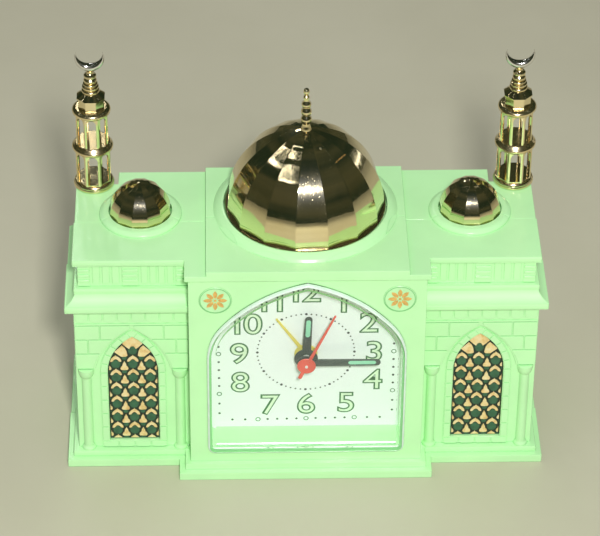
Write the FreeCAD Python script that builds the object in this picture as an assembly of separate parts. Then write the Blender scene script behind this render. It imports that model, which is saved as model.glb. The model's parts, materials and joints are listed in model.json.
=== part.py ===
import FreeCAD, Part
import math
import os

from FreeCAD import Vector

# Mosque-shaped quartz alarm clock. X runs across the front, -Y is the front and +Z is up.
# The origin is on the ground, in the middle of the width and of the depth.
# Lengths are in millimetres and angles in degrees.

# Widths of the building, from the middle outwards
wing_half = 98.9
body_half = 50.1
slab_half = 42.5
block_half = 80.1
plinth_out = 4.9
plinth_step_out = 2.3
cornice_out = 3.5
ledge_in = 0.5
frieze_in = 2.7
roof_in = 0.3
centre_lip_out = 1.5
rear_step = 0.35

# Depths, from the front backwards
wing_setback = 9.6
wing_recess = 0.9
front_depth = 27.3
corner_depth = 27.1
rear_depth = 35.9
dome_behind_parting = 6.7
dial_setback = 14.9

# Heights, from the ground upwards
plinth_low_h = 4.0
plinth_high_h = 2.9
wall_h = 77.7
lip_h = 3.1
slope_h = 4.6
cove_hollow = 0.64
ledge_h = 2.5
ledge_nose = 0.4
frieze_h = 12.2
roof_h = 2.9
slab_h = 2.2
centre_lip_h = 2.8

# Shell walls
wall = 2.2
floor_t = 2.5
roof_t = 2.6

# Front window of the dial and its clear cover
window_half = 42.5
window_foot = 12.6
window_spring = 65.0
window_apex = 105.2
window_haunch_r = 27.3
window_haunch_angle = 38.6
window_corner_r = 3.5
cover_overlap = 1.8
cover_t = 1.7
cover_proud = 2.2
cover_edge_r = 1.0
fit_gap = 0.15
tunnel_wall = 1.6

# Dial and hands
dial_t = 1.5
dial_lap = 2.0
dial_centre_z = 56.1
alarm_hand_h = 1.4
hour_hand_h = 4.7
minute_hand_h = 7.5
second_hand_h = 9.8
hand_t = 0.4
alarm_hand_len = 23.4
hour_hand_len = 23.0
minute_hand_len = 31.9
second_hand_len = 30.2
second_tail_len = 7.6
hand_heel = 2.0
alarm_hand_root, alarm_hand_tip = 0.9, 0.3
hour_hand_root, hour_hand_tip = 2.0, 1.8
minute_hand_root, minute_hand_tip = 1.9, 1.75
second_hand_root, second_hand_tip = 0.8, 0.4
alarm_disc_r, hour_disc_r, minute_disc_r, second_disc_r = 4.8, 4.8, 3.6, 3.8
alarm_collet_r, hour_collet_r, minute_collet_r, second_collet_r = 4.2, 3.2, 2.6, 1.6
alarm_hand_angle = -33.5
hour_hand_angle = 2.5
second_hand_angle = 23.7
minute_hand_angle = 90.0

# Medallions beside the dial
medal_x = 38.75
medal_z = 96.2
medal_r = 7.0
medal_t = 0.5
medal_sink = 0.3

# Wing windows
wing_window_x = 74.4
wing_window_half = 10.8
wing_window_foot = 10.4
wing_window_spring = 49.1
wing_window_r = 22.9
frame_band = 3.3
frame_proud = 0.4
spandrel_half = 16.1
spandrel_foot = 51.7
spandrel_apex = 73.5
spandrel_r = 33.0
column_offset = 20.1
column_r = 2.0
capital_h = 4.5
capital_r = 3.3
column_base_h = 1.9
pane_back = 0.8
flange_lap = 2.0
flange_t = 1.2
grille_t = 0.7
cell_pitch_x = 7.3
cell_pitch_z = 7.6
cell_r = 2.5
small_cell_r = 1.15

# Large dome, its collar and its stop button parts
collar_r = 38.5
collar_h = 2.7
collar_rim_h = 0.9
collar_top_r = 35.7
dome_facets = 15
dome_corner_r = 33.7
dome_arc_r = 39.9
dome_wall = 1.8
dome_lip_out = 0.6
dome_lip_h = 0.6
dome_base_above_slab = 1.9
dome_clearance = 0.6
dome_phase = 3.3
press_travel = 2.5
press_rest_gap = 0.2
seat_hole_r = 5.0
seat_hole_x = 18.0
post_r = 3.0
post_clearance = 0.3
post_drop = 12.0
spring_wire_r = 0.4
spring_coil_r = 5.2
spring_turns = 6
spring_web_r = 9.0
spring_web_t = 2.0
spring_space = 12.0
clip_r = 5.0
clip_t = 1.0

# Small domes
small_dome_inset = 28.6
small_dome_x = wing_half - small_dome_inset
small_dome_forward = 0.8
small_collar_r = 17.5
small_collar_h = 2.2
small_collar_top_r = 15.2
small_dome_facets = 12
small_dome_corner_r = 13.3
small_dome_arc_r = 15.8
small_dome_wall = 1.4
small_dome_base_h = 1.0
peg_r = 2.0
peg_drop = 5.0

# Minarets
minaret_inset = 8.3
minaret_x = wing_half - minaret_inset
minaret_behind_corner = 1.5
tower_r = 7.9
ring_r = 8.45
ring_h = 1.8
base_ring_h = 2.6
lower_storey_r = 7.85
upper_storey_r = 7.2
upper_ring_r = 7.9
storey_h = 16.8
storey_wall = 1.1
opening_share = 0.72
opening_sill = 0.9
drum_r = 5.75
drum_h = 5.4
cap_r = 6.4
cap_eave_h = 0.5
cap_h = 2.7
cap_top_r = 3.5
rib_r = 3.6
rib_taper = 0.08
rib_h = 1.55
rib_count = 3
bead_r = 2.6
bead_h = 2.25
bead_count = 2
neck_r = 1.9
crescent_r = 6.4
crescent_t = 3.2
crescent_rim = 3.6
crescent_mouth = 9.1
crescent_neck_r = 1.3
crescent_neck_h = 1.6

# Finial of the large dome
finial_r = 2.3
finial_rings = 4
finial_ring_h = 4.4
finial_ball_r = 1.3
finial_sink = 1.2
finial_peg = 4.8

# Clock movement
movement_half = 28.0
movement_t = 17.0
movement_front_t = 11.0
movement_wall = 1.4
bush_r = 4.0
pivot_r = 0.5
running_gap = 0.05
pivot_depth = 0.8
shaft_second_r = 0.6
shaft_minute_r = 1.3
shaft_hour_r = 2.2
shaft_alarm_r = 3.0
wheel_t = 0.9
motion_module = 0.5
motion_second_module = 0.48
cannon_teeth = 12
motion_teeth = 36
motion_pinion_teeth = 10
hour_teeth = 40
setting_teeth = 18
alarm_teeth = 40
alarm_pinion_teeth = 20
train_module = 0.45
step_module = 0.4
second_teeth = 48
second_pinion_teeth = 8
step_teeth = 40
step_pinion_teeth = 8
rotor_teeth = 8
third_module = 0.36
centre_module = 0.34
third_teeth = 60
third_pinion_teeth = 8
centre_teeth = 64
motion_direction = -100.0
setting_direction = 150.0
alarm_direction = -20.3
step_direction = 130.0
rotor_direction = 80.0
third_direction = 40.0
rotor_r = 3.0
rotor_magnet_h = 1.6
coil_r = 3.6
coil_len = 16.0
stem_r = 1.5
knob_r = 6.0
knob_h = 6.2
knob_gap = 0.4
knob_ribs = 18

# Battery compartment, its door and cells
battery_x = -50.0
cell_radius = 7.25
cell_len = 50.5
cell_spacing = 15.2
cell_gap = 0.3
nub_r = 2.6
nub_h = 1.0
contact_t = 0.4
contact_spring_len = 4.9
compartment_z = 24.0
compartment_wall = 1.6
door_t = 2.0
door_lap = 2.4
door_gap = 0.3
hinge_r = 0.9

# Speaker, sound board, alarm switch and stop switch
speaker_x = 50.0
speaker_z = 52.0
speaker_r = 25.0
speaker_depth = 19.0
grille_hole_r = 1.5
grille_pitch = 5.2
grille_rings = 3
board_half = 26.0
board_z = 64.0
board_h = 26.0
board_t = 1.6
board_standoff = 8.0
board_post_r = 2.5
switch_z = 74.0
switch_travel = 4.0
lever_w = 2.5
lever_h = 1.8
lever_gap = 0.25
stop_board_half = 12.0
stop_board_depth = 14.0
stop_switch_half = 3.0
stop_switch_h = 3.4

# Screws and feet
screw_x = 56.5
screw_low_z = 14.0
screw_high_z = 96.0
screw_r = 1.5
screw_head_r = 2.8
screw_head_h = 2.0
screw_len = 12.0
screw_seat = 4.0
boss_r = 3.9
foot_r = 5.0
foot_t = 0.8
foot_x = 88.0
foot_inset = 14.0

# Places worked out from the sizes above
depth = plinth_out + wing_setback + front_depth + dome_behind_parting + collar_r
front_y = -depth / 2
centre_y = front_y + plinth_out
wing_y = centre_y + wing_setback
recess_y = wing_y + wing_recess
parting_y = wing_y + front_depth
corner_y = parting_y + corner_depth
back_y = parting_y + rear_depth
dome_y = parting_y + dome_behind_parting
small_dome_y = dome_y - small_dome_forward
minaret_y = corner_y + minaret_behind_corner
dial_y = centre_y + dial_setback
dial_back_y = dial_y + dial_t
movement_back_y = dial_back_y + movement_t
movement_split_y = dial_back_y + movement_front_t
plinth_low_z = plinth_low_h
plinth_z = plinth_low_z + plinth_high_h
lip_z = plinth_z + wall_h
slope_z = lip_z + lip_h
ledge_z = slope_z + slope_h
frieze_z = ledge_z + ledge_h
roof_under_z = frieze_z + frieze_h
roof_z = roof_under_z + roof_h
slab_z = roof_z + slab_h
dome_base_z = slab_z + dome_base_above_slab
seat_z = dome_base_z - press_travel - press_rest_gap
boss_end_y = parting_y
inner_back_y = back_y - wall
wing_inner_y = recess_y + wall


def block(half, y0, y1, z0, z1, x=0.0):
    return Part.makeBox(2 * half, y1 - y0, z1 - z0, Vector(x - half, y0, z0))


def post_z(x, y, r, z0, z1):
    return Part.makeCylinder(r, z1 - z0, Vector(x, y, z0), Vector(0, 0, 1))


def post_y(x, z, r, y0, y1):
    return Part.makeCylinder(r, y1 - y0, Vector(x, y0, z), Vector(0, 1, 0))


def cone_z(x, y, r0, r1, z0, z1):
    return Part.makeCone(r0, r1, z1 - z0, Vector(x, y, z0), Vector(0, 0, 1))


def fuse(shapes):
    if len(shapes) == 1:
        return shapes[0]
    return shapes[0].multiFuse(shapes[1:]).removeSplitter()


def group(shapes):
    return Part.makeCompound(shapes)


def moved(shape, x=0.0, y=0.0, z=0.0):
    copy = shape.copy()
    copy.translate(Vector(x, y, z))
    return copy


def turned_y(shape, angle, x=0.0, z=0.0):
    copy = shape.copy()
    copy.rotate(Vector(x, 0, z), Vector(0, 1, 0), angle)
    return copy


def line(a, b):
    return Part.LineSegment(Vector(*a), Vector(*b)).toShape()


def arc(a, b, c):
    return Part.Arc(Vector(*a), Vector(*b), Vector(*c)).toShape()


def prism_y(points, y0, y1):
    wire = Part.makePolygon([Vector(x, y0, z) for x, z in points + points[:1]])
    return Part.Face(wire).extrude(Vector(0, y1 - y0, 0))


def polygon_wire(x, y, z, r, sides, phase):
    step = 360.0 / sides
    points = []
    for i in range(sides + 1):
        a = math.radians(phase + i * step)
        points.append(Vector(x + r * math.sin(a), y - r * math.cos(a), z))
    points[-1] = points[0]
    return Part.makePolygon(points)


def prism_z(x, y, r, sides, phase, z0, z1):
    face = Part.Face(polygon_wire(x, y, z0, r, sides, phase))
    return face.extrude(Vector(0, 0, z1 - z0))


def loft(wires):
    return Part.makeLoft(wires, True, True)


# Outline of the dial window, drawn inset from its edge; a negative inset is outside it
def dial_arch(inset, y0, y1):
    angle = math.radians(window_haunch_angle)
    nx, nz = math.cos(angle), math.sin(angle)
    c1x = window_half - window_haunch_r
    hx, hz = c1x + window_haunch_r * nx, window_spring + window_haunch_r * nz
    ax, az = -hx, window_apex - hz
    big_r = -(ax * ax + az * az) / (2 * (ax * nx + az * nz))
    c2x, c2z = hx - nx * big_r, hz - nz * big_r
    r1, r2 = window_haunch_r - inset, big_r - inset
    half = window_half - inset
    foot = window_foot + inset
    corner = max(window_corner_r - inset, fit_gap)
    top = c2z + math.sqrt(r2 * r2 - c2x * c2x)

    def on(cx, cz, r, a):
        return (cx + r * math.cos(a), cz + r * math.sin(a))

    haunch = on(c1x, window_spring, r1, angle)
    haunch_mid = on(c1x, window_spring, r1, angle / 2)
    top_angle = math.atan2(top - c2z, -c2x)
    crown_mid = on(c2x, c2z, r2, (angle + top_angle) / 2)
    diagonal = corner * (1 - math.sqrt(0.5))

    def p(q, side):
        return (side * q[0], y0, q[1])

    edges = [line((corner - half, y0, foot), (half - corner, y0, foot))]
    for s in (1, -1):
        edges.append(arc(p((half - corner, foot), s), p((half - diagonal, foot + diagonal), s),
                         p((half, foot + corner), s)))
        edges.append(line(p((half, foot + corner), s), p((half, window_spring), s)))
        edges.append(arc(p((half, window_spring), s), p(haunch_mid, s), p(haunch, s)))
        edges.append(arc(p(haunch, s), p(crown_mid, s), p((0, top), s)))
    wire = Part.Wire(Part.__sortEdges__(edges))
    return Part.Face(wire).extrude(Vector(0, y1 - y0, 0))


# Two-centred pointed arch on straight jambs
def pointed_arch(x, half, foot, spring, r, y0, y1):
    top = spring + math.sqrt(r * r - (r - half) ** 2)
    mid_angle = math.acos((r - half) / r) / 2
    mid = (half - r + r * math.cos(mid_angle), spring + r * math.sin(mid_angle))
    edges = [line((x - half, y0, foot), (x + half, y0, foot))]
    for s in (1, -1):
        edges.append(line((x + s * half, y0, foot), (x + s * half, y0, spring)))
        edges.append(arc((x + s * half, y0, spring), (x + s * mid[0], y0, mid[1]), (x, y0, top)))
    return Part.Face(Part.Wire(Part.__sortEdges__(edges))).extrude(Vector(0, y1 - y0, 0))


def wing_arch(inset, y0, y1, x=wing_window_x):
    return pointed_arch(x, wing_window_half - inset, wing_window_foot + inset,
                        wing_window_spring, wing_window_r - inset, y0, y1)


# Arch of the wall above a wing window, which stands forward of the wall below it
def spandrel_arch(x, y0, y1):
    foot_z, half = spandrel_foot, spandrel_half
    rise = spandrel_apex - foot_z
    chord = math.hypot(half, rise)
    sag = spandrel_r - math.sqrt(spandrel_r ** 2 - (chord / 2) ** 2)
    mx = half / 2 + sag * rise / chord
    mz = foot_z + rise / 2 + sag * half / chord
    below = plinth_z
    edges = [line((x - half, y0, below), (x + half, y0, below))]
    for s in (1, -1):
        edges.append(line((x + s * half, y0, below), (x + s * half, y0, foot_z)))
        edges.append(arc((x + s * half, y0, foot_z), (x + s * mx, y0, mz), (x, y0, spandrel_apex)))
    return Part.Face(Part.Wire(Part.__sortEdges__(edges))).extrude(Vector(0, y1 - y0, 0))


# Hollow moulding between the cornice and its ledge: its curve runs along the sides and front
def cove(y_front, y_back, narrow):
    run, rise = cornice_out + ledge_in + ledge_nose, ledge_z - slope_z
    wide = wing_half + cornice_out - narrow
    near = y_front - cornice_out if y_front < parting_y else y_front
    mid = (cove_hollow * run, ledge_z - cove_hollow * rise)
    edges = [line((-wide, 0, slope_z), (wide, 0, slope_z)),
             line((run - wide, 0, ledge_z), (wide - run, 0, ledge_z))]
    for s in (1, -1):
        edges.append(arc((s * wide, 0, slope_z), (s * (wide - mid[0]), 0, mid[1]),
                         (s * (wide - run), 0, ledge_z)))
    across = Part.Face(Part.Wire(Part.__sortEdges__(edges)))
    solid = across.extrude(Vector(0, y_back - near, 0))
    solid.translate(Vector(0, near, 0))
    if y_front >= parting_y:
        return solid
    edges = [line((0, near, slope_z), (0, y_back, slope_z)),
             line((0, y_back, slope_z), (0, y_back, ledge_z)),
             line((0, y_back, ledge_z), (0, near + run, ledge_z)),
             arc((0, near + run, ledge_z), (0, near + mid[0], mid[1]), (0, near, slope_z))]
    along = Part.Face(Part.Wire(Part.__sortEdges__(edges))).extrude(Vector(2 * wide, 0, 0))
    along.translate(Vector(-wide, 0, 0))
    return solid.common(along)


# The wings' walls as stacked courses; each stands out from the wall by its own amount
def wing_courses(y_front, y_back, narrow):
    def course(out, z0, z1):
        front = y_front - out if y_front < parting_y else y_front
        return block(wing_half + out - narrow, front, y_back, z0, z1)

    return [
        course(plinth_out, 0, plinth_low_z),
        course(plinth_step_out, plinth_low_z, plinth_z),
        course(0, plinth_z, lip_z),
        course(cornice_out, lip_z, slope_z),
        cove(y_front, y_back, narrow),
        course(-ledge_in, ledge_z, frieze_z),
        course(-frieze_in, frieze_z, roof_under_z),
        course(-roof_in, roof_under_z, roof_z),
    ]


def ring_collar(x, y, r, top_r, rim_h, h, z):
    rim = post_z(x, y, r, z, z + rim_h)
    return [rim, cone_z(x, y, r, top_r, z + rim_h, z + h)]


def half_space(front):
    reach = 2 * wing_half
    if front:
        return block(reach, -reach, parting_y, -1, 2 * slab_z)
    return block(reach, parting_y, reach, -1, 2 * slab_z)


# Roof pieces that both shells share: they are built whole and split at the parting line
def roof_rings():
    rings = ring_collar(0, dome_y, collar_r, collar_top_r, collar_rim_h, collar_h, slab_z)
    for s in (-1, 1):
        rings += ring_collar(s * small_dome_x, small_dome_y, small_collar_r, small_collar_top_r,
                             collar_rim_h, small_collar_h, roof_z)
    return fuse(rings)


def roof_bores():
    bore = post_z(0, dome_y, dome_corner_r + dome_lip_out + dome_clearance, seat_z, 2 * slab_z)
    cuts = [bore, post_z(0, dome_y, post_r + post_clearance, 0.5 * roof_z, seat_z)]
    for s in (-1, 1):
        cuts.append(post_z(s * seat_hole_x, dome_y, seat_hole_r, frieze_z, seat_z))
        x = s * small_dome_x
        cuts.append(post_z(x, small_dome_y, small_dome_corner_r + fit_gap, roof_z, 2 * slab_z))
        cuts.append(post_z(x, small_dome_y, peg_r, roof_z - peg_drop, roof_z))
    return group(cuts)


def screw_places():
    return [(s * screw_x, z) for s in (-1, 1) for z in (screw_low_z, screw_high_z)]


def foot_places():
    return [(s * foot_x, y) for s in (-1, 1) for y in (wing_y + foot_inset, corner_y - foot_inset)]


def foot_recesses():
    return group([post_z(x, y, foot_r + fit_gap, 0, foot_t) for x, y in foot_places()])


dial_tab_low = (45.0, 19.0)
dial_tab_high = (37.5, 90.0)
dial_tab_half = 3.4
dial_boss_r = 3.0
dial_screw_r = 1.0


def dial_screw_places():
    return [(s * x, z) for x, z in (dial_tab_low, dial_tab_high) for s in (-1, 1)]


def front_case():
    solids = wing_courses(wing_y, parting_y, 0.0)
    solids.append(block(body_half + plinth_out, front_y, wing_y, 0, plinth_low_z))
    solids.append(block(body_half + plinth_step_out, centre_y - plinth_step_out, wing_y,
                        plinth_low_z, plinth_z))
    solids.append(block(body_half, centre_y, parting_y, plinth_z, roof_z))
    lip_front = centre_y - centre_lip_out
    solids.append(block(body_half + centre_lip_out, lip_front, wing_y + roof_in,
                        roof_z - centre_lip_h, roof_z))
    solids.append(block(slab_half, lip_front, parting_y, roof_z, slab_z))
    outer = fuse(solids)

    recesses = []
    for s in (-1, 1):
        x = s * wing_window_x
        inner_edge = body_half
        outer_edge = wing_half
        width = outer_edge - inner_edge
        middle = s * (inner_edge + width / 2)
        field = block(width / 2, wing_y - 1, recess_y, plinth_z, spandrel_foot, middle)
        recesses += [field, spandrel_arch(x, wing_y - 1, recess_y)]
    outer = outer.cut(group(recesses))

    trims = []
    for s in (-1, 1):
        x = s * wing_window_x
        band = wing_arch(-frame_band, recess_y - frame_proud, recess_y, x)
        band = band.common(block(wing_half, wing_y - 1, parting_y, plinth_z, roof_z))
        trims.append(band)
        for side in (-1, 1):
            cx = x + side * column_offset
            shaft = post_z(cx, recess_y, column_r, plinth_z, spandrel_foot)
            capital = cone_z(cx, recess_y, column_r, capital_r, spandrel_foot - capital_h,
                             spandrel_foot)
            base = cone_z(cx, recess_y, capital_r - 0.5, column_r, plinth_z,
                          plinth_z + column_base_h)
            column = fuse([shaft, capital, base])
            limit = block(wing_half, wing_y - capital_r, wing_inner_y, 0, roof_z)
            outside = block(body_half, front_y, parting_y, 0, roof_z)
            trims.append(column.common(limit).cut(outside))
    outer = outer.multiFuse(trims)

    rings = roof_rings().common(half_space(True))
    outer = outer.fuse(rings).removeSplitter()

    cavities = [
        block(wing_half - wall, wing_inner_y, parting_y, floor_t, lip_z),
        block(wing_half - frieze_in - wall, wing_y + frieze_in + wall, parting_y, lip_z,
              roof_z - roof_t),
        block(body_half - wall, centre_y + wall, parting_y, floor_t, roof_z - roof_t),
        block(slab_half - wall, centre_y + wall, parting_y, roof_z - roof_t, slab_z - roof_t),
    ]
    shell = outer.cut(fuse(cavities))

    tunnel = dial_arch(cover_overlap - tunnel_wall, centre_y + wall, dial_y)
    solids = [shell, tunnel]
    for x, z in screw_places():
        solids.append(post_y(x, z, boss_r, wing_inner_y - fit_gap, boss_end_y))
    for x, z in dial_screw_places():
        solids.append(post_y(x, z, dial_boss_r, centre_y + wall - fit_gap, dial_y))
    case = fuse(solids)

    cuts = [dial_arch(cover_overlap, centre_y - 1, dial_y + 1), roof_bores(), foot_recesses()]
    for s in (-1, 1):
        cuts.append(wing_arch(0, wing_y - 1, wing_inner_y + 1, s * wing_window_x))
        cuts.append(post_y(s * medal_x, medal_z, medal_r, centre_y - 1, centre_y + medal_sink))
    for x, z in screw_places():
        cuts.append(post_y(x, z, screw_r, boss_end_y - screw_len + screw_seat, boss_end_y))
    for x, z in dial_screw_places():
        cuts.append(post_y(x, z, dial_screw_r, dial_y - 5, dial_y))
    return case.cut(group(cuts))


# The half-round bay carries the back of the dome's collar beyond the flat rear wall
bay_foot_h = 10.0
bay_h = 19.0
bay_foot_r = 30.0


def bay(inset, z_low, z_top):
    top = post_z(0, dome_y, collar_r - inset, roof_z - bay_h + bay_foot_h, z_top)
    foot = cone_z(0, dome_y, bay_foot_r - inset, collar_r - inset, z_low,
                  roof_z - bay_h + bay_foot_h)
    return fuse([top, foot])


def compartment_box():
    half = cell_spacing / 2 + cell_radius + cell_gap
    inner_y0 = back_y - door_t - 2 * cell_radius - 2 * cell_gap
    z1 = compartment_z + 2 * contact_t + cell_len + contact_spring_len + cell_gap
    return half, inner_y0, compartment_z, z1


def door_box():
    half, y0, z0, z1 = compartment_box()
    return half + door_lap, back_y - door_t, z0 - door_lap, z1 + door_lap


def speaker_grille():
    holes = []
    reach = grille_rings * grille_pitch + 0.1
    for i in range(-grille_rings, grille_rings + 1):
        for j in range(-grille_rings, grille_rings + 1):
            x = grille_pitch * (i + 0.5 * j)
            z = grille_pitch * math.sqrt(0.75) * j
            if math.hypot(x, z) <= reach:
                holes.append(post_y(speaker_x + x, speaker_z + z, grille_hole_r,
                                    inner_back_y - 1, back_y + 1))
    return group(holes)


def board_posts():
    y1 = inner_back_y + fit_gap
    y0 = inner_back_y - board_standoff
    inset = board_post_r + 1.0
    places = [(s * (board_half - inset), z) for s in (-1, 1)
              for z in (board_z + inset, board_z + board_h - inset)]
    return places, y0, y1


def stop_board_z():
    return roof_z - roof_t - post_drop - press_travel - cell_gap - stop_switch_h


def stop_post_places():
    return [(s * (stop_board_half - board_post_r), dome_y + 1) for s in (-1, 1)]


def rear_case():
    solids = wing_courses(parting_y, corner_y, rear_step)
    for out, z0, z1 in ((plinth_out, 0, plinth_low_z), (plinth_step_out, plinth_low_z, plinth_z)):
        solids.append(block(wing_half + out - rear_step, parting_y, back_y + out, z0, z1))
    solids.append(block(block_half, parting_y, back_y, plinth_z, roof_z))
    solids.append(block(slab_half, parting_y, back_y, roof_z, slab_z))
    for s in (-1, 1):
        solids.append(post_z(s * minaret_x, minaret_y, tower_r, plinth_z, roof_z))
    outer = fuse(solids)
    bay_low = roof_z - bay_h
    outer = outer.fuse(bay(0, bay_low, slab_z).common(half_space(False)))
    outer = outer.fuse(roof_rings().common(half_space(False))).removeSplitter()

    top = roof_z - roof_t
    wing_in = wing_half - frieze_in - wall
    cavities = [
        block(wing_half - rear_step - wall, parting_y, corner_y - wall, floor_t, lip_z),
        block(wing_in - rear_step, parting_y, corner_y - wall, lip_z, top),
        block(block_half - wall, parting_y, inner_back_y, floor_t, top),
        block(slab_half - wall, parting_y, inner_back_y, top, slab_z - roof_t),
        bay(wall, bay_low + wall, slab_z - roof_t).common(half_space(False)),
    ]
    for s in (-1, 1):
        cavities.append(post_z(s * minaret_x, minaret_y, tower_r - wall, floor_t, top))
    shell = outer.cut(fuse(cavities))

    half, box_y, box_z0, box_z1 = compartment_box()
    w = compartment_wall
    solids = [shell, block(half + w, box_y - w, inner_back_y + fit_gap, box_z0 - w, box_z1 + w,
                           battery_x)]
    for x, z in screw_places():
        solids.append(post_y(x, z, boss_r, boss_end_y, inner_back_y + fit_gap))
    places, post_y0, post_y1 = board_posts()
    for x, z in places:
        solids.append(post_y(x, z, board_post_r, post_y0, post_y1))
    for x, y in stop_post_places():
        solids.append(post_z(x, y, board_post_r, stop_board_z(), slab_z - roof_t + fit_gap))
    for x, z in stem_places():
        solids.append(post_y(x, z, stem_r + wall, inner_back_y - wall, inner_back_y + fit_gap))
    for s in (-1, 1):
        solids.append(post_z(s * minaret_x, minaret_y, 2 * peg_r, top - peg_drop, top + fit_gap))
    case = fuse(solids)

    door_half, door_y, door_z0, door_z1 = door_box()
    g = door_gap
    hinge_x = door_half + g + pivot_depth
    cuts = [
        block(half, box_y, back_y + 1, box_z0, box_z1, battery_x),
        block(door_half + g, door_y - fit_gap, back_y + 1, door_z0 - g, door_z1 + g, battery_x),
        Part.makeCylinder(hinge_r + running_gap, 2 * hinge_x,
                          Vector(battery_x - hinge_x, back_y - door_t / 2, door_z0 + door_t / 2),
                          Vector(1, 0, 0)),
        speaker_grille(), roof_bores(), foot_recesses(),
        block(switch_travel / 2 + lever_w / 2 + lever_gap, inner_back_y - 1, back_y + 1,
              switch_z - lever_h / 2 - lever_gap, switch_z + lever_h / 2 + lever_gap),
    ]
    for x, z in screw_places():
        seat_y = boss_end_y + screw_seat
        cuts.append(post_y(x, z, screw_r + 0.2, boss_end_y - 1, back_y + 1))
        cuts.append(post_y(x, z, screw_head_r + cell_gap, seat_y, back_y + 1))
    for x, z in stem_places():
        cuts.append(post_y(x, z, stem_r + running_gap, inner_back_y - 2 * wall, back_y + 1))
    for s in (-1, 1):
        cuts.append(post_z(s * minaret_x, minaret_y, peg_r, roof_z - peg_drop, roof_z + 1))
    return case.cut(group(cuts))


# Places in the movement, seen from the front, measured from the hands' axis
def polar(origin, distance, direction):
    a = math.radians(direction)
    return (origin[0] + distance * math.cos(a), origin[1] + distance * math.sin(a))


def reach(module, teeth_a, teeth_b):
    return module * (teeth_a + teeth_b) / 2


hands_axis = (0.0, dial_centre_z)
motion_axis = polar(hands_axis, reach(motion_module, cannon_teeth, motion_teeth), motion_direction)
setting_axis = polar(motion_axis, reach(motion_module, motion_teeth, setting_teeth),
                     setting_direction)
alarm_axis = polar(hands_axis, reach(motion_module, alarm_teeth, alarm_pinion_teeth),
                   alarm_direction)
step_axis = polar(hands_axis, reach(train_module, second_teeth, step_pinion_teeth), step_direction)
rotor_axis = polar(step_axis, reach(step_module, step_teeth, rotor_teeth), rotor_direction)
third_axis = polar(hands_axis, reach(third_module, second_pinion_teeth, third_teeth),
                   third_direction)


def stem_places():
    return [setting_axis, alarm_axis]


# Layers of wheels between the movement's covers, counted from its front floor
layer_gap = 0.35
layer_step = wheel_t + layer_gap
movement_floor_y = dial_back_y + movement_wall
alarm_layer = movement_floor_y + layer_gap
hour_layer = alarm_layer + layer_step
motion_layer = hour_layer + layer_step
centre_layer = motion_layer + layer_step
third_layer = centre_layer + layer_step
second_layer = third_layer + layer_step
step_layer = second_layer + layer_step
magnet_layer = step_layer + layer_step
tooth_tip_share = 0.20
tooth_root_share = 0.40
tooth_rise = 0.75
tooth_fall = 1.15


def gear(axis, module, teeth, y0, phase, t=wheel_t):
    tip = module * (teeth / 2 + tooth_rise)
    root = module * (teeth / 2 - tooth_fall)
    pitch = 360.0 / teeth
    points = []
    for i in range(teeth):
        middle = phase + i * pitch
        corners = ((root, -tooth_root_share), (tip, -tooth_tip_share), (tip, tooth_tip_share),
                   (root, tooth_root_share))
        for r, share in corners:
            points.append(polar(axis, r, middle + share * pitch * 0.5 * 1.1))
    return prism_y(points, y0, y0 + t)


# Phase that puts a gap of the driven gear opposite a tooth of the driving one
def meshed(driver_phase, driver_teeth, teeth, direction):
    ahead = (direction - driver_phase) * driver_teeth / 360.0
    offset = (ahead - round(ahead)) * 360.0 / teeth
    return direction + 180.0 + offset + 180.0 / teeth


def arbor(axis, y0, y1):
    return post_y(axis[0], axis[1], pivot_r, y0, y1)


def tube_y(axis, r_out, r_in, y0, y1):
    x, z = axis
    return post_y(x, z, r_out, y0, y1).cut(post_y(x, z, r_in, y0 - 1, y1 + 1))


def drilled(shape, axis, r):
    return shape.cut(post_y(axis[0], axis[1], r, dial_y - 40, movement_back_y))


inner_floor_y = movement_floor_y
inner_back_face_y = movement_back_y - movement_wall
front_pivot_y = inner_floor_y - pivot_depth
back_pivot_y = inner_back_face_y + pivot_depth
collar_t = 0.9
hand_nose = 0.6


def hand_y(height):
    return dial_y - height


def alarm_wheel():
    r_in = shaft_hour_r + running_gap
    wheel = gear(hands_axis, motion_module, alarm_teeth, alarm_layer, 0.0)
    pipe = post_y(0, dial_centre_z, shaft_alarm_r, hand_y(alarm_hand_h) - hand_nose,
                  alarm_layer + wheel_t)
    return drilled(wheel.fuse(pipe), hands_axis, r_in)


def alarm_pinion():
    phase = meshed(0.0, alarm_teeth, alarm_pinion_teeth, alarm_direction)
    wheel = gear(alarm_axis, motion_module, alarm_pinion_teeth, alarm_layer, phase)
    return wheel.fuse(arbor(alarm_axis, front_pivot_y, alarm_layer + wheel_t))


def hour_wheel():
    wheel = gear(hands_axis, motion_second_module, hour_teeth, hour_layer, 0.0)
    pipe = post_y(0, dial_centre_z, shaft_hour_r, hand_y(hour_hand_h) - hand_nose,
                  hour_layer + wheel_t)
    return drilled(wheel.fuse(pipe), hands_axis, shaft_minute_r + running_gap)


def cannon_pinion():
    wheel = gear(hands_axis, motion_module, cannon_teeth, motion_layer, 0.0)
    pipe = post_y(0, dial_centre_z, shaft_minute_r, hand_y(minute_hand_h) - hand_nose,
                  motion_layer + wheel_t + layer_gap)
    return drilled(wheel.fuse(pipe), hands_axis, shaft_second_r + running_gap)


def motion_wheel():
    phase = meshed(0.0, cannon_teeth, motion_teeth, motion_direction)
    wheel = gear(motion_axis, motion_module, motion_teeth, motion_layer, phase)
    pinion_phase = meshed(0.0, hour_teeth, motion_pinion_teeth, motion_direction)
    pinion = gear(motion_axis, motion_second_module, motion_pinion_teeth, hour_layer, pinion_phase,
                  layer_step)
    pin = arbor(motion_axis, front_pivot_y, motion_layer + wheel_t + layer_gap / 2)
    return fuse([wheel, pinion, pin])


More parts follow.
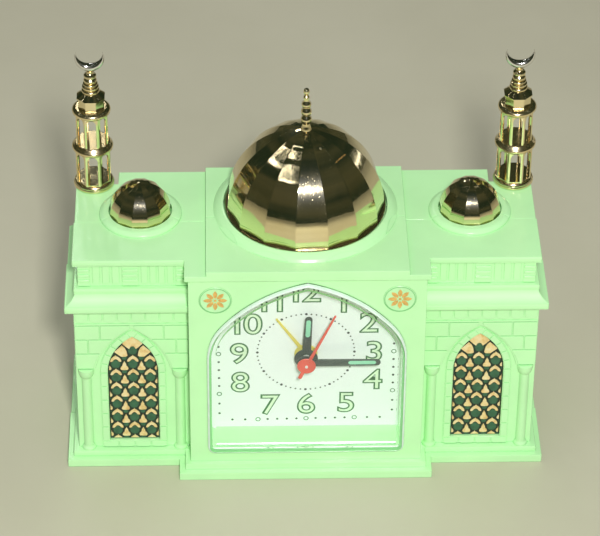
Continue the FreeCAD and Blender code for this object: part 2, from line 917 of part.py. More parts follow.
def setting_pinion():
    motion_phase = meshed(0.0, cannon_teeth, motion_teeth, motion_direction)
    phase = meshed(motion_phase, motion_teeth, setting_teeth, setting_direction)
    wheel = gear(setting_axis, motion_module, setting_teeth, motion_layer, phase)
    return wheel.fuse(arbor(setting_axis, front_pivot_y, motion_layer + wheel_t))


def centre_wheel():
    phase = meshed(0.0, third_pinion_teeth, centre_teeth, third_direction + 180.0)
    wheel = gear(hands_axis, centre_module, centre_teeth, centre_layer, phase)
    return drilled(wheel, hands_axis, shaft_second_r + running_gap)


def third_wheel():
    phase = meshed(0.0, second_pinion_teeth, third_teeth, third_direction)
    wheel = gear(third_axis, third_module, third_teeth, third_layer, phase)
    pinion = gear(third_axis, centre_module, third_pinion_teeth, centre_layer, 0.0, layer_step)
    return fuse([wheel, pinion, arbor(third_axis, front_pivot_y, back_pivot_y)])


def second_wheel():
    wheel = gear(hands_axis, train_module, second_teeth, second_layer, 0.0)
    pinion = gear(hands_axis, third_module, second_pinion_teeth, third_layer, 0.0, layer_step)
    shaft = post_y(0, dial_centre_z, shaft_second_r, hand_y(second_hand_h) - hand_nose,
                   second_layer + wheel_t)
    return fuse([wheel, pinion, shaft, arbor(hands_axis, second_layer, back_pivot_y)])


def step_wheel():
    pinion_phase = meshed(0.0, second_teeth, step_pinion_teeth, step_direction)
    pinion = gear(step_axis, train_module, step_pinion_teeth, second_layer, pinion_phase,
                  layer_step)
    wheel = gear(step_axis, step_module, step_teeth, step_layer, 0.0)
    return fuse([wheel, pinion, arbor(step_axis, front_pivot_y, back_pivot_y)])


def rotor():
    phase = meshed(0.0, step_teeth, rotor_teeth, rotor_direction)
    pinion = gear(rotor_axis, step_module, rotor_teeth, step_layer, phase)
    x, z = rotor_axis
    magnet = post_y(x, z, rotor_r, magnet_layer, magnet_layer + rotor_magnet_h)
    return fuse([pinion, magnet, arbor(rotor_axis, front_pivot_y, back_pivot_y)])


stator_t = 0.8
stator_margin = 2.0
coil_back = 4.1
coil_lift = 0.15


def coil_place():
    x = rotor_axis[0] - coil_back
    z = dial_centre_z + movement_half - movement_wall - coil_r - layer_gap
    return x, inner_floor_y + coil_lift + coil_r, z


def stator():
    x, z = rotor_axis
    coil_x, coil_y, coil_z = coil_place()
    y0 = magnet_layer + layer_gap / 2
    y1 = y0 + stator_t
    half = coil_len / 2 + stator_margin
    plate = block(half, y0, y1, z - rotor_r - stator_margin, coil_z + coil_r, coil_x)
    hole = post_y(x, z, rotor_r + layer_gap, y0 - 1, y1 + 1)
    feet_solids = []
    for side in (-1, 1):
        foot_at = coil_x + side * (half - stator_margin / 2 + fit_gap)
        feet_solids.append(block(stator_margin / 2 - fit_gap, inner_floor_y, y0,
                                 coil_z - 0.5 * coil_r, coil_z + 0.5 * coil_r, foot_at))
    return plate.cut(hole).multiFuse(feet_solids)


def coil():
    x, y, z = coil_place()
    half = coil_len / 2
    drum = Part.makeCylinder(coil_r - 1, coil_len, Vector(x - half, y, z), Vector(1, 0, 0))
    flanges = [Part.makeCylinder(coil_r, 1, Vector(x + side * (half - 0.5) - 0.5, y, z),
                                 Vector(1, 0, 0)) for side in (-1, 1)]
    return fuse([drum] + flanges)


ear_half = 3.2
ear_t = 2.0
ear_reach = 6.0


def movement_ears():
    return [(s * (movement_half + ear_reach / 2), dial_centre_z) for s in (-1, 1)]


def pivot_holes(y0, y1, axes):
    return [post_y(x, z, pivot_r + running_gap, y0, y1) for x, z in axes]


def movement_front():
    z = dial_centre_z
    m, w = movement_half, movement_wall
    body = block(m, dial_back_y, movement_split_y, z - m, z + m)
    solids = [body, post_y(0, z, bush_r, dial_y + fit_gap, dial_back_y + w)]
    for x, ez in movement_ears():
        solids.append(block(ear_reach / 2, dial_back_y, dial_back_y + ear_t, ez - ear_half,
                            ez + ear_half, x))
    body = fuse(solids)
    cuts = [block(m - w, inner_floor_y, movement_split_y + 1, z - m + w, z + m - w),
            post_y(0, z, shaft_alarm_r + running_gap, dial_y - 1, inner_floor_y + 1)]
    for x, ez in movement_ears():
        cuts.append(post_y(x, ez, dial_screw_r, dial_back_y - 1, dial_back_y + ear_t + 1))
    axes = [alarm_axis, motion_axis, setting_axis, third_axis, step_axis, rotor_axis]
    cuts += pivot_holes(front_pivot_y, inner_floor_y, axes)
    return body.cut(group(cuts))


def movement_back():
    z = dial_centre_z
    m, w = movement_half, movement_wall
    body = block(m, movement_split_y, movement_back_y, z - m, z + m)
    cuts = [block(m - w, movement_split_y - 1, inner_back_face_y, z - m + w, z + m - w)]
    axes = [hands_axis, third_axis, step_axis, rotor_axis]
    cuts += pivot_holes(inner_back_face_y, back_pivot_y, axes)
    for x, sz in stem_places():
        cuts.append(post_y(x, sz, stem_r + running_gap, inner_back_face_y - 1,
                           movement_back_y + 1))
    return body.cut(group(cuts))


def circuit_block():
    m, w = movement_half, movement_wall
    z0 = dial_centre_z - m + w
    return block(m - w - 2, inner_floor_y, inner_floor_y + board_t, z0, z0 + 7.0)


# Hands: a flat blade on a collet, pointing at the hour first and then turned
def blade(length, tail, root_half, tip_half, y):
    points = [(-root_half, -tail), (-root_half, 0), (-tip_half, length - tip_half),
              (0, length), (tip_half, length - tip_half), (root_half, 0), (root_half, -tail)]
    points = [(x, z + dial_centre_z) for x, z in points]
    return prism_y(points, y, y + hand_t)


def hand(length, tail, root_half, tip_half, height, boss_radius, hole_r, angle, disc_r):
    y = hand_y(height)
    arm = blade(length, tail, root_half, tip_half, y)
    disc = post_y(0, dial_centre_z, disc_r, y, y + hand_t)
    collet = post_y(0, dial_centre_z, boss_radius, y, y + hand_t + collar_t)
    shape = fuse([arm, disc, collet])
    if hole_r > 0:
        shape = drilled(shape, hands_axis, hole_r)
    return turned_y(shape, angle, 0, dial_centre_z)


# Knobs with a grip of ribs, on long stems that reach the wheels in the movement
def knob(axis):
    x, z = axis
    y0 = back_y + knob_gap
    body = post_y(x, z, knob_r, y0, y0 + knob_h)
    grooves = []
    for i in range(knob_ribs):
        gx, gz = polar(axis, knob_r + 0.3, i * 360.0 / knob_ribs)
        grooves.append(post_y(gx, gz, 0.7, y0 + 1.2, y0 + knob_h + 1))
    arrow = block(0.5, y0 + knob_h - 0.5, y0 + knob_h + 1, z + 0.5, z + knob_r - 1.6, x)
    return body.cut(group(grooves + [arrow]))


def stem(axis, y0):
    return post_y(axis[0], axis[1], stem_r, y0, back_y + knob_gap)


# Clear cover over the dial: a thick pane with a raised rounded edge and a plug behind it
def crystal():
    pane = dial_arch(0, centre_y - cover_proud, centre_y)
    front_edges = [e for e in pane.Edges
                   if all(abs(v.Point.y - (centre_y - cover_proud)) < 1e-6 for v in e.Vertexes)]
    pane = pane.makeFillet(cover_edge_r, front_edges)
    plug = dial_arch(cover_overlap + fit_gap, centre_y, centre_y + cover_t)
    hollow = dial_arch(cover_overlap + fit_gap + tunnel_wall,
                       centre_y - cover_proud + cover_t, centre_y + cover_t + 1)
    return pane.fuse(plug).cut(hollow)


def dial_plate():
    plate = dial_arch(cover_overlap - dial_lap, dial_y, dial_back_y)
    tabs = []
    for x, z in (dial_tab_low, dial_tab_high):
        for s in (-1, 1):
            edge = 8.0
            middle = s * (x + dial_tab_half - edge)
            tabs.append(block(edge, dial_y, dial_back_y, z - dial_tab_half, z + dial_tab_half,
                              middle))
    plate = plate.multiFuse(tabs).removeSplitter()
    cuts = [post_y(0, dial_centre_z, bush_r + fit_gap, dial_y - 1, dial_back_y + 1)]
    for x, z in dial_screw_places() + movement_ears():
        cuts.append(post_y(x, z, dial_screw_r, dial_y + 0.4, dial_back_y + 1))
    for x, z in dial_screw_places():
        cuts.append(post_y(x, z, dial_screw_r, dial_y - 1, dial_back_y + 1))
    return plate.cut(group(cuts))


def screw_y(x, z, seat, length, r, head_r, head_h):
    head = post_y(x, z, head_r, seat, seat + head_h)
    slot = block(head_r, seat + head_h * 0.6, seat + head_h + 1, z - 0.3, z + 0.3, x)
    return head.cut(slot).fuse(post_y(x, z, r, seat - length, seat))


def dial_screws():
    return group([screw_y(x, z, dial_back_y, 5.0, dial_screw_r, 1.9, 1.1)
                  for x, z in dial_screw_places()])


def movement_screws():
    return group([screw_y(x, z, dial_back_y + ear_t, ear_t + 1.0, dial_screw_r, 1.9, 1.1)
                  for x, z in movement_ears()])


def case_screws():
    return group([screw_y(x, z, boss_end_y + screw_seat, screw_len, screw_r, screw_head_r,
                          screw_head_h) for x, z in screw_places()])


def medallion(s):
    x = s * medal_x
    disc = post_y(x, medal_z, medal_r - fit_gap, centre_y - medal_t + medal_sink,
                  centre_y + medal_sink)
    groove = tube_y((x, medal_z), medal_r - 0.7, medal_r - 1.1, centre_y - 1,
                    centre_y - medal_t + medal_sink + 0.15)
    return disc.cut(groove)


# Dark panel behind each wing window, with a flange on the inside of the wall
def window_panel(s):
    x = s * wing_window_x
    pane = wing_arch(fit_gap, recess_y + pane_back + grille_t, wing_inner_y, x)
    flange = wing_arch(-flange_lap, wing_inner_y, wing_inner_y + flange_t, x)
    return pane.fuse(flange)


# Gold grille in front of the dark panel, pierced with rows of hexagons
def window_grille(s):
    x = s * wing_window_x
    y0 = recess_y + pane_back
    plate = wing_arch(fit_gap, y0, y0 + grille_t, x)
    limit = wing_arch(fit_gap + 0.6, y0 - 1, y0 + grille_t + 1, x)
    holes = []
    rows = int((wing_window_spring + wing_window_r - wing_window_foot) / cell_pitch_z)
    for row in range(rows):
        z = wing_window_foot + cell_pitch_z * (row + 0.55)
        for column in (-1, 0, 1):
            holes.append(hexagon(x + column * cell_pitch_x, z, cell_r, y0))
        for column in (-0.5, 0.5):
            holes.append(hexagon(x + column * cell_pitch_x, z + cell_pitch_z / 2, small_cell_r, y0))
    pierced = group(holes).common(limit)
    return plate.cut(pierced)


def hexagon(x, z, r, y0):
    points = [polar((x, z), r, 60.0 * i) for i in range(6)]
    return prism_y(points, y0 - 1, y0 + grille_t + 1)


# Faceted dome: polygons on a circular-arc profile that meets in a point
def dome_solid(x, y, z, corner_r, arc_r, facets, phase, levels=9):
    apex = math.sqrt(arc_r ** 2 - (arc_r - corner_r) ** 2)
    wires = []
    for i in range(levels):
        h = apex * math.sin(math.radians(84.0 * i / (levels - 1)))
        r = math.sqrt(arc_r ** 2 - h ** 2) - (arc_r - corner_r)
        wires.append(polygon_wire(x, y, z + h, r, facets, phase))
    tip = Part.Vertex(Vector(x, y, z + apex))
    return loft(wires + [tip]), apex


def main_dome():
    half_turn = 180.0 / dome_facets
    phase = dome_phase + half_turn
    outer, apex = dome_solid(0, dome_y, dome_base_z, dome_corner_r, dome_arc_r, dome_facets, phase)
    inner, inner_apex = dome_solid(0, dome_y, dome_base_z, dome_corner_r - dome_wall,
                                   dome_arc_r - dome_wall, dome_facets, phase)
    lip = post_z(0, dome_y, dome_corner_r + dome_lip_out, dome_base_z, dome_base_z + dome_lip_h)
    bore = prism_z(0, dome_y, dome_corner_r - dome_wall, dome_facets, phase, dome_base_z - 1,
                   dome_base_z + dome_lip_h)
    shell = outer.fuse(lip).cut(inner).cut(bore)
    post_end = roof_z - roof_t - post_drop
    web_z = seat_z + spring_space
    solids = [shell, post_z(0, dome_y, post_r, post_end, dome_base_z + inner_apex),
              post_z(0, dome_y, spring_web_r, web_z, web_z + spring_web_t)]
    dome = fuse(solids)
    clip_z = slab_z - roof_t - clip_t - cell_gap
    groove = post_z(0, dome_y, 2 * post_r, clip_z, clip_z + clip_t)
    groove = groove.cut(post_z(0, dome_y, post_r - 0.6, clip_z, clip_z + clip_t))
    seat = dome_base_z + apex - finial_sink
    tip = post_z(0, dome_y, finial_r + fit_gap, seat, seat + finial_sink + 1)
    socket = post_z(0, dome_y, 1.0, seat - finial_peg, seat + 1)
    return dome.cut(group([groove, tip, socket])), apex


def stop_clip():
    clip_z = slab_z - roof_t - clip_t - cell_gap
    ring = post_z(0, dome_y, clip_r, clip_z, clip_z + clip_t)
    hole = post_z(0, dome_y, post_r - 0.6, clip_z - 1, clip_z + clip_t + 1)
    mouth = block(1.4, dome_y, dome_y + 2 * clip_r, clip_z - 1, clip_z + clip_t + 1)
    return ring.cut(group([hole, mouth]))


spring_steps = 16
spring_sides = 8


# A coil spring as ruled strips between small polygons set along the helix
def coil_spring(x, y, z, length, r, wire_r, turns):
    rise = (length - 2 * wire_r) / turns
    sections = []
    for i in range(turns * spring_steps + 1):
        a = 2 * math.pi * i / spring_steps
        points = []
        for k in range(spring_sides + 1):
            b = 2 * math.pi * (k % spring_sides) / spring_sides
            out = r + wire_r * math.cos(b)
            points.append(Vector(x + out * math.cos(a), y + out * math.sin(a),
                                 z + wire_r * (1 + math.sin(b)) + rise * i / spring_steps))
        sections.append(Part.makePolygon(points))
    return Part.makeLoft(sections, True, True)


def stop_spring():
    gap = 0.3
    return coil_spring(0, dome_y, seat_z + gap, spring_space - 2 * gap, spring_coil_r,
                       spring_wire_r, spring_turns)


def small_dome(s):
    x, y = s * small_dome_x, small_dome_y
    phase = 180.0 / small_dome_facets
    z = roof_z + small_dome_base_h
    outer, apex = dome_solid(x, y, z, small_dome_corner_r, small_dome_arc_r, small_dome_facets,
                             phase)
    inner, inner_apex = dome_solid(x, y, z, small_dome_corner_r - small_dome_wall,
                                   small_dome_arc_r - small_dome_wall, small_dome_facets, phase)
    base = prism_z(x, y, small_dome_corner_r, small_dome_facets, phase, roof_z, z)
    bore = prism_z(x, y, small_dome_corner_r - small_dome_wall, small_dome_facets, phase,
                   roof_z - 1, z)
    shell = outer.fuse(base).cut(inner).cut(bore)
    peg = post_z(x, y, peg_r, roof_z - peg_drop, z + inner_apex + 0.5)
    return shell.fuse(peg).removeSplitter()


# Two-storey octagonal minaret with see-through arches on all eight sides
def storey(x, y, r, z0, h):
    sides = 8
    phase = 180.0 / sides
    wall_solid = prism_z(x, y, r, sides, phase, z0, z0 + h)
    core = prism_z(x, y, r - storey_wall, sides, phase, z0 + opening_sill, z0 + h - opening_sill)
    face_w = 2 * r * math.sin(math.radians(phase))
    half = face_w * opening_share / 2
    foot = z0 + opening_sill
    spring = z0 + h - opening_sill - half - 0.6
    cut = pointed_arch(x, half, foot, spring, 1.15 * half, y - 2 * r, y + 2 * r)
    cuts = [core]
    for i in range(sides // 2):
        turned = cut.copy()
        turned.rotate(Vector(x, y, 0), Vector(0, 0, 1), i * 360.0 / sides)
        cuts.append(turned)
    return wall_solid.cut(group(cuts))


def minaret_heights():
    z = roof_z
    marks = {"base": z}
    for name, h in (("lower", base_ring_h), ("ring", storey_h), ("upper", ring_h),
                    ("upper_ring", storey_h), ("drum", ring_h), ("cap", drum_h),
                    ("ribs", cap_h), ("beads", rib_count * rib_h), ("top", bead_count * bead_h)):
        z += h
        marks[name] = z
    return marks


def minaret(s):
    x, y = s * minaret_x, minaret_y
    m = minaret_heights()
    phase = 22.5
    solids = [
        disc_bead(x, y, ring_r, m["base"], base_ring_h),
        storey(x, y, lower_storey_r, m["lower"], storey_h),
        disc_bead(x, y, ring_r, m["ring"], ring_h),
        storey(x, y, upper_storey_r, m["upper"], storey_h),
        disc_bead(x, y, upper_ring_r, m["upper_ring"], ring_h),
        prism_z(x, y, drum_r, 8, phase, m["drum"], m["cap"]),
        prism_z(x, y, cap_r, 8, phase, m["cap"], m["cap"] + cap_eave_h),
        loft([polygon_wire(x, y, m["cap"] + cap_eave_h, cap_r, 8, phase),
              polygon_wire(x, y, m["ribs"], cap_top_r, 8, phase)]),
        post_z(x, y, neck_r, m["ribs"], m["top"]),
        post_z(x, y, peg_r, roof_z - peg_drop, roof_z),
    ]
    for i in range(rib_count):
        r = rib_r * (1 - i * rib_taper)
        solids.append(disc_bead(x, y, r, m["ribs"] + i * rib_h, rib_h))
    for i in range(bead_count):
        solids.append(disc_bead(x, y, bead_r, m["beads"] + i * bead_h, bead_h))
    socket = post_z(x, y, 1.0, m["top"] - 2.0, m["top"] + 1)
    return fuse(solids).cut(socket)


# A turned bead: a full middle between two smaller faces
def disc_bead(x, y, r, z, h):
    edge = min(0.3 * h, 0.25 * r)
    lower = cone_z(x, y, r - edge, r, z, z + edge)
    middle = post_z(x, y, r, z + edge, z + h - edge)
    upper = cone_z(x, y, r, r - edge, z + h - edge, z + h)
    return fuse([lower, middle, upper])


def crescent(s):
    x, y = s * minaret_x, minaret_y
    seat = minaret_heights()["top"]
    top = seat + crescent_neck_h
    centre_z = top + crescent_r
    inner_r = 0.86 * crescent_r
    inner_z = top + crescent_rim + inner_r
    y0, y1 = y - crescent_t / 2, y + crescent_t / 2
    moon = post_y(x, centre_z, crescent_r, y0, y1)
    hollow = post_y(x, inner_z, inner_r, y0 - 1, y1 + 1)
    above = block(2 * crescent_r, y0 - 1, y1 + 1, top + crescent_mouth, top + 3 * crescent_r, x)
    peg = post_z(x, y, 1.0, seat - 2.0, top + 1.0)
    flat = block(crescent_r, y0 - 1, y1 + 1, top - 1, top + 0.15, x)
    body = moon.cut(group([hollow, above, flat]))
    neck = post_z(x, y, crescent_neck_r, seat, top + 1.0)
    return fuse([body, neck, peg])


def dome_finial(apex):
    z = dome_base_z + apex - finial_sink
    solids = [post_z(0, dome_y, 1.0, z - finial_peg, z),
              post_z(0, dome_y, 0.6 * finial_r, z, z + finial_rings * finial_ring_h)]
    for i in range(finial_rings):
        r = finial_r * (1 - 0.08 * i)
        solids.append(disc_bead(0, dome_y, r, z + i * finial_ring_h, finial_ring_h * 0.9))
    ball_z = z + finial_rings * finial_ring_h + finial_ball_r * 0.7
    solids.append(post_z(0, dome_y, 0.8, z + finial_rings * finial_ring_h - 0.5, ball_z + 1.5))
    solids.append(Part.makeSphere(finial_ball_r, Vector(0, dome_y, ball_z + 1.6)))
    return fuse(solids)


def battery_places():
    half, y0, z0, z1 = compartment_box()
    y = back_y - door_t - cell_gap - cell_radius
    return y, z0, z1, [battery_x - cell_spacing / 2, battery_x + cell_spacing / 2]


def battery_cell(i):
    y, z0, z1, xs = battery_places()
    x = xs[i]
    can = post_z(x, y, cell_radius, 0, cell_len - nub_h)
    nub = post_z(x, y, nub_r, cell_len - nub_h, cell_len)
    cell = can.fuse(nub)
    if i == 0:
        return moved(cell, 0, 0, z0 + contact_t + contact_spring_len + cell_gap / 2)
    cell.rotate(Vector(x, y, 0), Vector(1, 0, 0), 180.0)
    return moved(cell, 0, 0, z0 + contact_t + cell_gap / 2 + cell_len)


def contact_plates():
    y, z0, z1, xs = battery_places()
    half = cell_radius - 1.5
    plates = []
    for x in xs:
        for z in (z0, z1 - contact_t):
            plates.append(block(half, y - half, y + half, z, z + contact_t, x))
    return group(plates)


def contact_springs():
    y, z0, z1, xs = battery_places()
    low = coil_spring(xs[0], y, z0 + contact_t + 0.05, contact_spring_len - 0.2, 3.2, 0.35, 3)
    high = coil_spring(xs[1], y, z1 - contact_t - contact_spring_len + 0.15,
                       contact_spring_len - 0.2, 3.2, 0.35, 3)
    return group([low, high])


def battery_door():
    half, y0, z0, z1 = door_box()
    r = door_t / 2
    axis_z = z0 + r
    plate = block(half, y0, back_y, axis_z, z1, battery_x)
    edge = Part.makeCylinder(r, 2 * half, Vector(battery_x - half, y0 + r, axis_z),
                             Vector(1, 0, 0))
    pin = hinge_r
    reach_x = half + door_gap + pivot_depth - running_gap
    pins = Part.makeCylinder(pin, 2 * reach_x, Vector(battery_x - reach_x, y0 + r, axis_z),
                             Vector(1, 0, 0))
    door = fuse([plate, edge, pins])
    grips = [block(6.0, back_y - 0.6, back_y + 1, z1 - 6.0 - 2.2 * i, z1 - 5.0 - 2.2 * i,
                   battery_x) for i in range(4)]
    return door.cut(group(grips))


cone_gap = 0.2
cone_t = 0.8


def speaker_hollow():
    return Part.makeCone(speaker_r * 0.42, speaker_r - 3.4, speaker_depth * 0.45,
                         Vector(speaker_x, inner_back_y - speaker_depth * 0.45 - 0.6, speaker_z),
                         Vector(0, 1, 0))


def speaker():
    x, z = speaker_x, speaker_z
    y1 = inner_back_y
    flange = post_y(x, z, speaker_r, y1 - 1.2, y1)
    basket = Part.makeCone(speaker_r * 0.5, speaker_r - 2, speaker_depth * 0.55,
                           Vector(x, y1 - 1.2 - speaker_depth * 0.55, z), Vector(0, 1, 0))
    magnet = post_y(x, z, speaker_r * 0.55, y1 - speaker_depth, y1 - 1.2 - speaker_depth * 0.55)
    hollow = speaker_hollow()
    mouth = post_y(x, z, speaker_r - 3.4, y1 - 0.7, y1 + 1)
    return fuse([flange, basket, magnet]).cut(group([hollow, mouth]))


def speaker_cone():
    front = block(speaker_r, inner_back_y - speaker_depth, inner_back_y - 1.2,
                  speaker_z - speaker_r, speaker_z + speaker_r, speaker_x)
    outer = moved(speaker_hollow(), 0, cone_gap)
    inner = moved(speaker_hollow(), 0, cone_gap + cone_t)
    return outer.cut(inner).common(front)


def sound_board():
    places, y0, y1 = board_posts()
    plate = block(board_half, y0 - board_t, y0, board_z, board_z + board_h)
    holes = [post_y(x, z, dial_screw_r, y0 - board_t - 1, y0 + 1) for x, z in places]
    return plate.cut(group(holes))


def sound_chip():
    places, y0, y1 = board_posts()
    y = y0 - board_t
    chip = block(5.0, y - 1.8, y, board_z + 9, board_z + 17, -10.0)
    can = post_y(10.0, board_z + 13.0, 3.0, y - 7.0, y)
    small_can = post_y(17.5, board_z + 9.0, 2.2, y - 5.0, y)
    return group([chip, can, small_can])


def board_screws():
    places, y0, y1 = board_posts()
    y = y0 - board_t
    screws = []
    for x, z in places:
        head = post_y(x, z, 1.9, y - 1.1, y)
        shank = post_y(x, z, dial_screw_r, y, y0)
        screws.append(head.fuse(shank))
    return group(screws)


def switch_body():
    places, y0, y1 = board_posts()
    depth_y = board_standoff - 3.0
    body = block(5.0, y0, y0 + depth_y, switch_z - 2.2, switch_z + 2.2)
    slot = block(switch_travel / 2 + lever_w / 2 + lever_gap, y0 + 1.0, y0 + depth_y + 1,
                 switch_z - lever_h / 2 - lever_gap, switch_z + lever_h / 2 + lever_gap)
    return body.cut(slot)


def alarm_switch():
    places, y0, y1 = board_posts()
    x = -switch_travel / 2
    lever = block(lever_w / 2, y0 + 1.0 + lever_gap, back_y + knob_gap + 0.5,
                  switch_z - lever_h / 2, switch_z + lever_h / 2, x)
    cap = block(3.0, back_y + knob_gap, back_y + knob_gap + 1.8, switch_z - 2.4, switch_z + 2.4, x)
    grooves = [block(0.3, back_y + knob_gap + 1.3, back_y + knob_gap + 2, switch_z - 3,
                     switch_z + 3, x + i * 1.3) for i in (-1, 0, 1)]
    return cap.cut(group(grooves)).fuse(lever)


def stop_board():
    z = stop_board_z()
    y0 = parting_y + 0.6
    plate = block(stop_board_half, y0, y0 + stop_board_depth, z - board_t, z)
    holes = [post_z(x, y, dial_screw_r, z - board_t - 1, z + 1) for x, y in stop_post_places()]
    return plate.cut(group(holes))


def stop_switch():
    z = stop_board_z()
    base = block(stop_switch_half, dome_y - stop_switch_half, dome_y + stop_switch_half, z,
                 z + stop_switch_h - 1.2)
    cap = post_z(0, dome_y, 1.7, z + stop_switch_h - 1.2, z + stop_switch_h)
    return base.fuse(cap)


def stop_board_screws():
    z = stop_board_z() - board_t
    screws = []
    for x, y in stop_post_places():
        screws.append(post_z(x, y, 1.9, z - 1.1, z).fuse(post_z(x, y, dial_screw_r, z, z + board_t)))
    return group(screws)


def feet():
    return group([post_z(x, y, foot_r, 0, foot_t) for x, y in foot_places()])


def build():
    dome, apex = main_dome()
    shapes = {
        "front_case": front_case(),
        "rear_case": rear_case(),
        "crystal": crystal(),
        "medallions": group([medallion(-1), medallion(1)]),
        "dial_plate": dial_plate(),
        "dial_screws": group([dial_screws(), movement_screws()]),
        "main_dome": dome,
        "dome_finial": dome_finial(apex),
        "stop_spring": stop_spring(),
        "stop_clip": stop_clip(),
        "stop_board": stop_board(),
        "stop_switch": stop_switch(),
        "hour_hand": hand(hour_hand_len, hand_heel, hour_hand_root, hour_hand_tip, hour_hand_h,
                          hour_collet_r, shaft_hour_r, hour_hand_angle, hour_disc_r),
        "minute_hand": hand(minute_hand_len, hand_heel, minute_hand_root, minute_hand_tip,
                            minute_hand_h, minute_collet_r, shaft_minute_r, minute_hand_angle,
                            minute_disc_r),
        "second_hand": hand(second_hand_len, second_tail_len, second_hand_root, second_hand_tip,
                            second_hand_h, second_collet_r, shaft_second_r, second_hand_angle,
                            second_disc_r),
        "alarm_hand": hand(alarm_hand_len, hand_heel, alarm_hand_root, alarm_hand_tip,
                           alarm_hand_h, alarm_collet_r, shaft_alarm_r, alarm_hand_angle,
                           alarm_disc_r),
        "movement_front": movement_front(),
        "movement_back": movement_back(),
        "alarm_wheel": alarm_wheel(),
        "alarm_pinion": alarm_pinion(),
        "hour_wheel": hour_wheel(),
        "cannon_pinion": cannon_pinion(),
        "motion_wheel": motion_wheel(),
        "setting_pinion": setting_pinion(),
        "centre_wheel": centre_wheel(),
        "third_wheel": third_wheel(),
        "second_wheel": second_wheel(),
        "step_wheel": step_wheel(),
        "rotor": rotor(),
        "stator": stator(),
        "coil": coil(),
        "circuit_block": circuit_block(),
        "time_knob": knob(setting_axis),
        "time_stem": stem(setting_axis, motion_layer + wheel_t),
        "alarm_knob": knob(alarm_axis),
        "alarm_stem": stem(alarm_axis, alarm_layer + wheel_t),
        "battery_door": battery_door(),
        "battery_contacts": group([contact_plates(), contact_springs()]),
        "speaker": speaker(),
        "speaker_cone": speaker_cone(),
        "sound_board": sound_board(),
        "sound_components": sound_chip(),
        "board_screws": group([board_screws(), stop_board_screws()]),
        "alarm_switch_body": switch_body(),
        "alarm_switch": alarm_switch(),
        "case_screws": case_screws(),
        "rubber_feet": feet(),
    }
    for i in (0, 1):
        shapes["battery_cell_%d" % (i + 1)] = battery_cell(i)
    for side, s in (("left", -1), ("right", 1)):
        shapes["window_panel_" + side] = window_panel(s)
        shapes["window_grille_" + side] = window_grille(s)
        shapes["small_dome_" + side] = small_dome(s)
        shapes["minaret_" + side] = minaret(s)
        shapes["crescent_" + side] = crescent(s)
    return shapes


os.makedirs("parts", exist_ok=True)
for node, shape in build().items():
    if not shape.isValid():
        print("not valid:", node)
    shape.exportStep("parts/%s.step" % node)
    print(node, len(shape.Solids), round(shape.Volume, 1))
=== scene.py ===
import json
import math

import bmesh
import bpy
from mathutils import Matrix, Vector


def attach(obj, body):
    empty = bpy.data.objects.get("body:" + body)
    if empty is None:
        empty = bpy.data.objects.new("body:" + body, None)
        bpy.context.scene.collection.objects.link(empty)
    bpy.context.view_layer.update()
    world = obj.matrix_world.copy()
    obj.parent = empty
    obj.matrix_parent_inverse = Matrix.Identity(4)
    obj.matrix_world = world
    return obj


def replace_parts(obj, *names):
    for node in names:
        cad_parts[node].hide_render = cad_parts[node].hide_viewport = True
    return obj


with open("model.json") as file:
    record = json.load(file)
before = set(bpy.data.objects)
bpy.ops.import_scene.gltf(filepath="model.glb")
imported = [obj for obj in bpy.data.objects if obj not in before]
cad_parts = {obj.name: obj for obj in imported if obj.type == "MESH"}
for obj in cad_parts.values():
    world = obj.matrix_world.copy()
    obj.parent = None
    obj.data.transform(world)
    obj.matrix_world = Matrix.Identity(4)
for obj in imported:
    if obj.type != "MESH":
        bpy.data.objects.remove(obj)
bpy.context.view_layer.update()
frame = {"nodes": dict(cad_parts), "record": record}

mm = 0.001
nodes = frame["nodes"]
print("frame loaded:", len(nodes), "nodes")


# shader helpers: a Flow is one socket, and its operators add Math nodes
class Flow:
    def __init__(self, finish, socket):
        self.finish = finish
        self.socket = socket

    def math(self, operation, other=0.0, swap=False, clamp=False):
        first, second = (other, self) if swap else (self, other)
        return self.finish.make("ShaderNodeMath", {"operation": operation, "use_clamp": clamp},
                                {0: first, 1: second})

    def __add__(self, other):
        return self.math("ADD", other)

    def __radd__(self, other):
        return self.math("ADD", other, swap=True)

    def __sub__(self, other):
        return self.math("SUBTRACT", other)

    def __rsub__(self, other):
        return self.math("SUBTRACT", other, swap=True)

    def __mul__(self, other):
        return self.math("MULTIPLY", other)

    def __rmul__(self, other):
        return self.math("MULTIPLY", other, swap=True)


